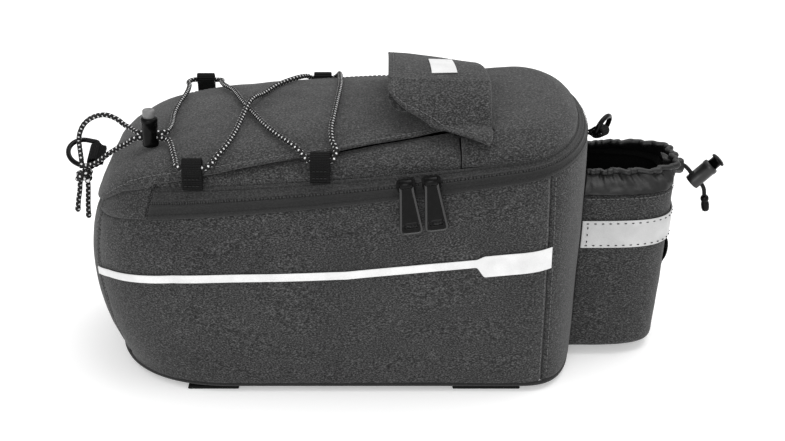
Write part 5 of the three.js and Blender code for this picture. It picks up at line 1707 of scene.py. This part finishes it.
def pull_plate():
    """A tapered plate with a slot near its end, as two grids with walls round both outlines."""
    rows = steps(-1.8, SLOT_HIGH, 14) + [SLOT_LOW, -28.2, -29.1, -29.7, -PULL_LENGTH]
    columns = [-1, -0.64, -0.3, 0.0, 0.3, 0.64, 1]
    shape = Shape()
    for z in (0.45, -0.75):
        for y in rows:
            for c in columns:
                shape.points.append(Vector((pull_half(y) * c, y, z)))
    span = len(columns)
    last = len(rows) - 1
    back = len(rows) * span
    slot_row = rows.index(SLOT_HIGH)
    for i in range(last):
        for k in range(span - 1):
            if i == slot_row and 0 < k < span - 2:
                continue
            a, b = i * span + k, (i + 1) * span + k
            shape.face([a, b, b + 1, a + 1])
            shape.face([back + a, back + a + 1, back + b + 1, back + b])
    edge = [i * span for i in range(len(rows))] + [last * span + k for k in range(1, span)]
    edge += [i * span + span - 1 for i in reversed(range(last))] + list(reversed(range(1, span - 1)))
    hole = [slot_row * span + k for k in range(1, span - 1)]
    hole += [(slot_row + 1) * span + k for k in reversed(range(1, span - 1))]
    for loop in (edge, hole):
        for a, b in zip(loop, loop[1:] + loop[:1]):
            shape.face([a, b, back + b, back + a])
    return shape.facing_out()


def slot_lip():
    """A thin bead round the slot."""
    side, shoulder = SLOT_HALF, 3.4
    line = [(side, -25.7), (shoulder, -24.5), (0, SLOT_HIGH), (-shoulder, -24.5)]
    line += [(-side, -25.7), (-shoulder, -26.9), (0, SLOT_LOW), (shoulder, -26.9)]
    return tube(smooth_path([Vector((x, y, 0)) for x, y in line], 0.6, closed=True), 0.62, 8, closed=True)


def pull_sleeve():
    """The eye that turns on the slider's bar."""
    profile = [(1.15, -3.6), (2.3, -3.6), (2.6, -3.2), (2.6, 3.2), (2.3, 3.6), (1.15, 3.6), (1.15, -3.6)]
    return lathe(profile, 28).moved(Matrix.Rotation(QUARTER, 4, "Y"))


def pull_rim():
    """A round rim along both sides and the end."""
    end = pull_half(-PULL_LENGTH)
    line = [Vector((pull_half(y), y, 0)) for y in steps(-1.6, -27.8, 8) + [-28.8, -29.5]]
    line += [Vector((end * share, -PULL_LENGTH, 0)) for share in (1, 0.5, 0, -0.5, -1)]
    line += [Vector((-pull_half(y), y, 0)) for y in [-29.5, -28.8] + steps(-27.8, -1.6, 8)]
    path = smooth_path([Vector((p.x * RIM_INSET, p.y + 0.3, 0)) for p in line], 0.8)
    return tube(path, RIM_RADIUS, 10)


def zip_pull(name, x):
    origin, along, out = zip_frame(x)
    bar = origin + out * BAR_HEIGHT
    up = (Vector((0, 0, 1)) - along * along.z).normalized()
    up.rotate(Matrix.Rotation(math.radians(-4), 3, along))
    seat = Matrix((along, up, along.cross(up))).transposed().to_4x4()
    seat.translation = bar
    plate = pull_plate()
    plate.join(slot_lip())
    plate.join(pull_sleeve())
    rim = pull_rim()
    for shape in (plate, rim):
        shape.points = [seat @ point for point in shape.points]
    stand_in(name, "moulded", plate, BLACK, name)
    add_piece(f"{name}_rim", rim, RIM, body=name)


# Cord locks
def drilled_barrel(radius, height, slot_low, slot_high, slot_half, sides=48):
    """A barrel with a well for its button and a slot for the cord, along X."""
    well = 3.95
    floor = height - 7.4
    edge = 0.9
    collar = 0.25
    ribs = [
        (0, 0), (radius - edge, 0), (radius - 0.25, 0.25), (radius, edge), (radius, slot_low),
        (radius, slot_high), (radius, height - 3.2), (radius + collar, height - 2.9),
        (radius + collar, height - edge), (radius - 0.2, height - 0.2), (radius - edge, height),
        (well, height), (well, floor), (0, floor),
    ]
    slot_row = 4
    shape = Shape()
    rings = shape.turned(ribs, sides)
    reach = round(math.asin(slot_half / radius) / (2 * math.pi) * sides)
    open_front = {k % sides for k in range(-reach, reach)}
    open_back = {(k + sides // 2) % sides for k in open_front}
    for row, (low, high) in enumerate(zip(rings, rings[1:])):
        shape.band(low, high, open_front | open_back if row == slot_row else ())
    order = [k % sides for k in range(-reach, reach + 1)]
    low, high = rings[slot_row], rings[slot_row + 1]
    loop = [low[k] for k in order] + [high[k] for k in reversed(order)]
    mirror = [low[(sides // 2 - k) % sides] for k in order]
    mirror += [high[(sides // 2 - k) % sides] for k in reversed(order)]
    count = len(loop)
    for i in range(count):
        j = (i + 1) % count
        shape.face([loop[i], mirror[i], mirror[j], loop[j]])
    return shape


def button(height):
    stem = height - 3.4
    top = height + 4.6
    rows = [
        (0, stem), (3.6, stem), (3.6, top - 1.0), (3.45, top - 0.4), (3.1, top - 0.05), (2.7, top),
        (2.1, top - 0.3), (1.1, top - 0.65), (0, top - 0.8),
    ]
    return lathe(rows, 40)


def toggle():
    x, y, radius = -109.0, -36.0, 4.8
    feet = [skin_height(x + radius * a, y + radius * b) for a, b in ((-1, 0), (1, 0), (0, -1), (0, 1))]
    seat = Matrix.Translation((x, y, max(feet) + TOP_RAISE + 0.3))
    barrel = drilled_barrel(radius, 18.0, 2.8, 10.2, 2.4)
    stand_in("toggle_barrel", "moulded", barrel.moved(seat), BLACK)
    cap = button(18.0).moved(seat)
    stand_in("toggle_button", "moulded", cap, SILVER, "toggle_button")


def pocket_lock():
    place = Matrix.Translation(DRAWCORD_ROUTE[LOCK_POINT]) @ Matrix.Rotation(math.radians(45), 4, "Y")
    place = place @ Matrix.Translation((0, 0, -4.4))
    barrel = drilled_barrel(5.0, 17.0, 2.6, 6.2, 1.9)
    stand_in("lock_barrel", "moulded", barrel.moved(place), LOCK)
    cap = lathe([
        (0, 13.6), (3.6, 13.6), (3.6, 20.9), (4.6, 21.1), (4.9, 21.7), (4.6, 22.5), (3.4, 23.1),
        (1.6, 23.4), (0, 23.5),
    ])
    stand_in("lock_button", "moulded", cap.moved(place), BLACK, "lock_button")
    last, before = Vector(DRAWCORD_ROUTE[-1]), Vector(DRAWCORD_ROUTE[-2])
    turn = (last - before).to_track_quat("Z", "X").to_matrix().to_4x4()
    end = lathe([
        (0, 0.3), (1.8, 0.3), (2.4, 1.0), (2.65, 2.2), (2.5, 3.4), (2.0, 3.9), (2.3, 4.6), (2.6, 6.2),
        (2.5, 8.8), (2.1, 10.4), (1.2, 11.0), (0, 11.0),
    ], 28)
    end.moved(Matrix.Translation(last) @ turn)
    tip = stand_in("drawcord_end", "moulded", end, BLACK, slot="cord")
    declare_cord(
        DRAWCORD, DRAWCORD_START, DRAWCORD_PATH,
    )


def collar_tunnel():
    """The collar's cloth, bunched where its cord comes out."""
    _, y, z = DRAWCORD_START
    shape = Shape()
    rows = [
        (200.5, 7.2), (203, 6.6), (205.5, 5.4), (208, 4.6), (210.5, 4.4), (212.8, 4.6), (214.3, 4.0),
        (214.5, 2.2),
    ]
    sides = 40
    for x, radius in rows:
        for k in range(sides):
            angle = 2 * math.pi * k / sides
            fold = 1 + 0.1 * math.cos(5 * angle + 0.1 * x) + 0.05 * math.cos(11 * angle)
            r = radius * (fold if radius > 3 else 1)
            shape.points.append(Vector((x, y + r * math.cos(angle), z + r * math.sin(angle))))
    rings = shape.stack(sides)
    shape.face(rings[0])
    shape.face(rings[-1][::-1])
    stand_in("collar_tunnel", "cloth", shape.facing_out(), NYLON)


# Hard nodes kept from the frame
def keep_node(name, material, bevel):
    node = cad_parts[name]
    node = node if isinstance(node, bpy.types.Object) else bpy.data.objects[name]
    for slot in node.material_slots:
        slot.material = material
    rounding = node.modifiers.new("rounding", "BEVEL")
    rounding.width = bevel * MM
    rounding.segments = 3
    rounding.limit_method = "ANGLE"
    rounding.angle_limit = math.radians(35)


body()
base()
zip_band()
lid_sides()
nose_facing()
lid_top()
lid_rear()
side_stripe()
cord_loops()
rack_straps()
handle()
wrap()
wrap_label()
pocket_wall()
pocket_floor()
pocket_collar()
pocket_band()
light_loop()
d_ring("front_d_ring", FRONT_RING, "bag")
d_ring("rear_d_ring", REAR_RING, "rear_ring")
ring_tab("front_ring_tab", FRONT_RING, (1, 0, 0), -1.0)
ring_tab("rear_ring_tab", REAR_RING, (-1, 0, 0), -1.0)
zip_pull("pull_left", 42.0)
zip_pull("pull_right", 56.2)
toggle()
pocket_lock()
collar_tunnel()
for slider in ("slider_left", "slider_right"):
    keep_node(slider, BLACK, 0.35)
add_piece("thread_light", SEWING["light"], THREAD)
add_piece("thread_dark", SEWING["dark"], THREAD_DARK)


# Studio
def studio():
    half = 6.0
    corners = [(half * x, half * y, 0) for x, y in ((-1, -1), (1, -1), (1, 1), (-1, 1))]
    mesh = bpy.data.meshes.new("studio_floor")
    mesh.from_pydata(corners, [], [(0, 1, 2, 3)])
    mesh.materials.append(studio_floor("studio_floor"))
    floor = bpy.data.objects.new("studio_floor", mesh)
    bpy.context.scene.collection.objects.link(floor)
    world = bpy.data.worlds.new("studio")
    bpy.context.scene.world = world
    world.use_nodes = True
    sky = world.node_tree.nodes["Background"]
    sky.inputs["Color"].default_value = (1, 1, 1, 1)
    sky.inputs["Strength"].default_value = 0.75
    for name, place, size, power in (
        ("light_top", (0.35, 0.2, 1.3), 1.2, 10.0),
        ("light_front", (-0.2, -1.5, 0.6), 0.9, 8.0),
    ):
        data = bpy.data.lights.new(name, "AREA")
        data.energy = power
        data.size = size
        light = bpy.data.objects.new(name, data)
        light.location = place
        light.rotation_euler = (Vector((0, 0, 0.08)) - Vector(place)).to_track_quat("-Z", "Y").to_euler()
        bpy.context.scene.collection.objects.link(light)
    bpy.context.scene.view_settings.view_transform = "Standard"


studio()
